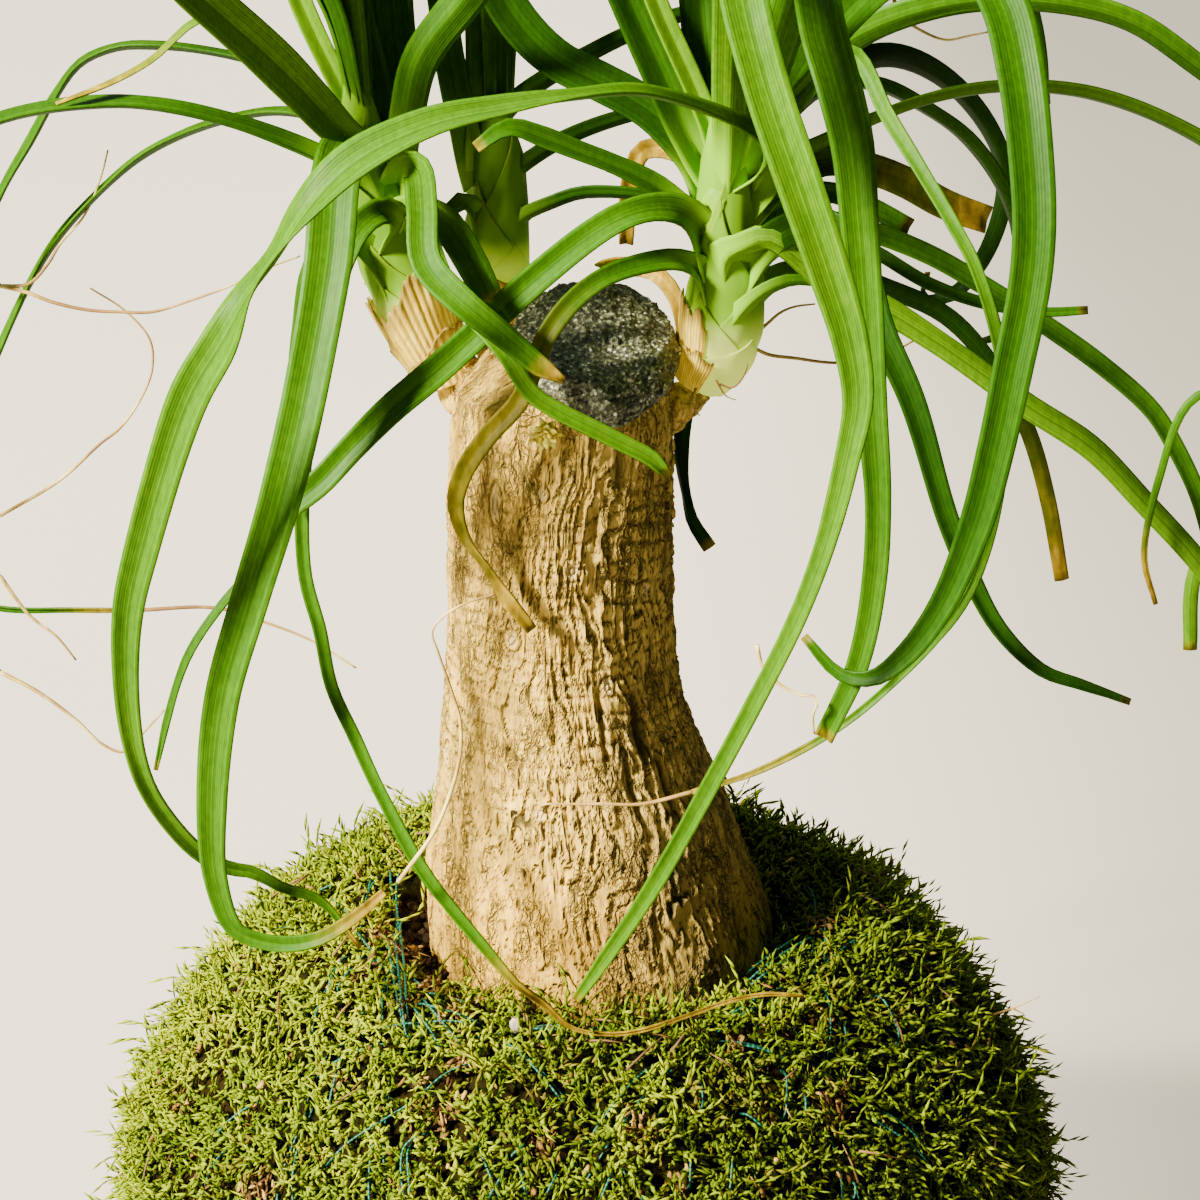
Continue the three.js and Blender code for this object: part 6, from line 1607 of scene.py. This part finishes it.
for batch, (kind, count, low, high, out, most_lift, brighter) in enumerate(MOSS_BATCHES):
    bearing, from_top, source = scattered_directions(count, low, high, 100 + batch)
    at, down, level, normal = surface_frames(bearing, from_top, out)
    cushion = clump(at)
    at += normal * CUSHION_HEIGHT * cushion[:, None]
    frames = frond_frames(at, down, level, normal, most_lift, source)
    keep = has_room(at, at + FROND_REACH * frames[:, 0], bearing, from_top, source)
    # the cushion term is painted shade: fronds in the gaps darker, those on top lighter
    tones = 0.52 + brighter + 0.40 * field(at, 0.03, 2.0) + 0.30 * cushion + source.normal(0, 0.19, count)
    # painted shade to the right, away from the light, less towards the back
    tones += 0.12 - 0.56 * smooth_step(-50, 95, at[:, 0]) * (1 - 0.8 * smooth_step(0, 40, at[:, 1]))
    older = sum(np.exp(-(np.linalg.norm(at - place, axis=1) / radius) ** 2) for place, radius in older_places)
    tones -= 0.5 * older
    withered = in_litter(at) * source.uniform(0.4, 1.0, count)
    keep &= source.uniform(0, 1, count) > 0.85 * withered
    brown = (withered > 0.3) | (source.uniform(0, 1, count) < 0.05 + 0.25 * older)
    tones = np.where(brown, source.uniform(0.02, 0.2, count), np.maximum(tones, 0.36))
    mesh = repeat_shape(f"fronds_{batch}", FRONDS[kind], at[keep], frames[keep], np.clip(tones[keep], 0, 1))
    finish_piece(f"moss_fronds_{batch}", mesh, moss_paint, "moss", "moss_cover")

# %% [markdown]
# ## The litter
# Pine needles are caught in the moss, each a thin tube with a slight bow. Crumbs of soil lie in the dip round
# the trunk. A crumb is a small ball made lumpy by noise, and so are the flakes and the stone that follow.

# %% Needles and crumbs
bm = bmesh.new()
bearing, from_top, source = scattered_directions(130, 22, 105, 501)
at, down, level, normal = surface_frames(bearing, from_top, 2.2)
for i in range(len(at)):
    heading = source.uniform(0, 2 * math.pi)
    way = down[i] * math.cos(heading) + level[i] * math.sin(heading) + normal[i] * source.uniform(-0.12, 0.08)
    length = source.uniform(5, 14)
    if in_opening(at[i][None])[0] > 1.04 and (at[i] + way * length)[2] > 3:
        bow = normal[i] * 0.05 * length
        add_tube(bm, [at[i], at[i] + way * length / 2 + bow, at[i] + way * length], [0.32, 0.3, 0.12], 5)
needle_paint, tree, shader = new_material("dry_needles", roughness=0.7)
shade = object_noise(tree, 60, detail=3.0)
paint(tree, shader, ramp(tree, shade, (0.35, (0.06, 0.024, 0.005)), (0.65, (0.22, 0.11, 0.03))))
bump(tree, shader, object_noise(tree, 700), 0.4, 0.0003)
finish_piece("dry_needles", metre_mesh(bm, "needles"), needle_paint, "soil")


def lumpy_ball(subdivisions, swell):
    """A ball of radius 1, whose every point is moved out or in by swell(point)."""
    bm = bmesh.new()
    bmesh.ops.create_icosphere(bm, subdivisions=subdivisions, radius=1)
    for vert in bm.verts:
        vert.co *= swell(vert.co)
    return bm


def random_turns(source, count):
    turns = zip(source.uniform(0, 2 * math.pi, count), source.normal(size=(count, 3)))
    return np.array([np.array(Matrix.Rotation(angle, 3, Vector(axis))) for angle, axis in turns])


CRUMBS = 1500
crumb = shape_of(lumpy_ball(1, lambda co: 1 + 0.5 * noise.noise(co * 1.4 + Vector((3.0, 0, 0)))))
source = np.random.default_rng(77)
turn = source.uniform(0, 2 * math.pi, CRUMBS)
far = source.uniform(40, 60, CRUMBS)
x, y = OPENING_X + far * np.cos(turn), TRUNK_Y + far * np.sin(turn)
from_top = np.arcsin(np.clip(np.hypot(x, y) / (BALL_RADIUS - MOSS_THICKNESS), 0, 1))
at = ball_point(np.arctan2(y, x), from_top, -MOSS_THICKNESS, 0)
at[:, 2] += source.uniform(-0.5, 3.2, CRUMBS)
keep = in_opening(at) < 1.12
frames = random_turns(source, CRUMBS) * source.uniform(0.5, 1.9, CRUMBS)[:, None, None]
mesh = repeat_shape("crumbs", crumb, at[keep], frames[keep], source.uniform(0, 1, int(keep.sum())))
finish_piece("soil_crumbs", mesh, soil_paint, "soil", "soil_ball")

# %% [markdown]
# Thin flakes of old bark are strewn over the ball. More of them lie near the trunk and where the moss is dark,
# and most in the patches of litter.

# %% Bark flakes
FLAKES = 2600
FLAKE_LIMITS = ((0.7, 2.4), (0.35, 1.1), (0.3, 1.2))   # least and most reach along each axis, in mm
bm = lumpy_ball(1, lambda co: 1 + 0.6 * noise.noise(co * 1.7))
for vert in bm.verts:
    vert.co.z *= 0.22
thin_flake = shape_of(bm)
bearing, from_top, source = scattered_directions(FLAKES, 20, 125, 88)
at, down, level, normal = surface_frames(bearing, from_top, 0.0)
on_soil = in_opening(at) < 1.03
at += normal * np.where(on_soil, 0.4 - MOSS_THICKNESS, 2.0 * clump(at) + source.uniform(-2.0, 1.2, FLAKES))[:, None]
wanted = 0.22 + 0.6 * smooth_step(0.0, 0.5, -field(at, 0.03, 2.0)) + 1.2 * (in_opening(at) < 1.16)
keep = (source.uniform(0, 1, FLAKES) < wanted) & (at[:, 2] > 4)
for centre, radius in litter_places:
    more = int(3.2 * radius ** 1.5)
    spread = centre + source.normal(0, 0.42 * radius, (more, 3))
    parts = surface_frames(*directions_of(spread), -1.2)
    lifted = parts[0] + parts[3] * source.uniform(-1.0, 1.2, more)[:, None]
    at, down, level, normal = (np.concatenate(pair) for pair in zip((at, down, level, normal), (lifted, *parts[1:])))
    keep = np.concatenate([keep, np.ones(more, dtype=bool)])
long_way = unit(np.stack([down, level, normal], axis=1) + 0.5 * source.normal(size=(len(at), 3, 3)))
reach = np.stack([source.uniform(*limits, len(at)) for limits in FLAKE_LIMITS], axis=1)
frames = long_way * reach[:, :, None]
mesh = repeat_shape("flakes", thin_flake, at[keep], frames[keep], source.uniform(0, 1, int(keep.sum())))
flake_paint, tree, shader = new_material("bark_flakes", roughness=0.8, Specular_IOR_Level=0.2)
grain = object_noise(tree, 900, detail=3.0)
shades = ramp(tree, attribute(tree, "tone"), (0.2, (0.06, 0.026, 0.004)), (0.6, (0.23, 0.115, 0.018)),
              (0.95, (0.60, 0.37, 0.09)))
paint(tree, shader, mix(tree, scaled(tree, grain, 0.5), shades, (0.08, 0.04, 0.012)))
bump(tree, shader, grain, 0.5, 0.0004)
finish_piece("bark_flakes", mesh, flake_paint, "soil", "soil_ball")

# %% [markdown]
# One small white stone lies in the front of the moss, where the photograph shows it.

# %% The white stone
bm = lumpy_ball(4, lambda co: 1 + 0.25 * noise.noise(co * 1.1) + 0.04 * noise.noise(co * 5))
stone_at = ball_point(*on_ball(-20.5, -103.5), -0.2)
for vert in bm.verts:
    vert.co = Vector(stone_at) + Vector((1.5 * vert.co.x, 1.4 * vert.co.y, 2.1 * vert.co.z))
stone_paint = mottled_material("white_stone", 0.6, {"scale": 500, "detail": 4.0}, (
    (0.35, (0.30, 0.25, 0.16)), (0.6, (0.52, 0.46, 0.33))), (0.3, 0.0002))
finish_piece("white_stone", metre_mesh(bm, "stone"), stone_paint, "soil")
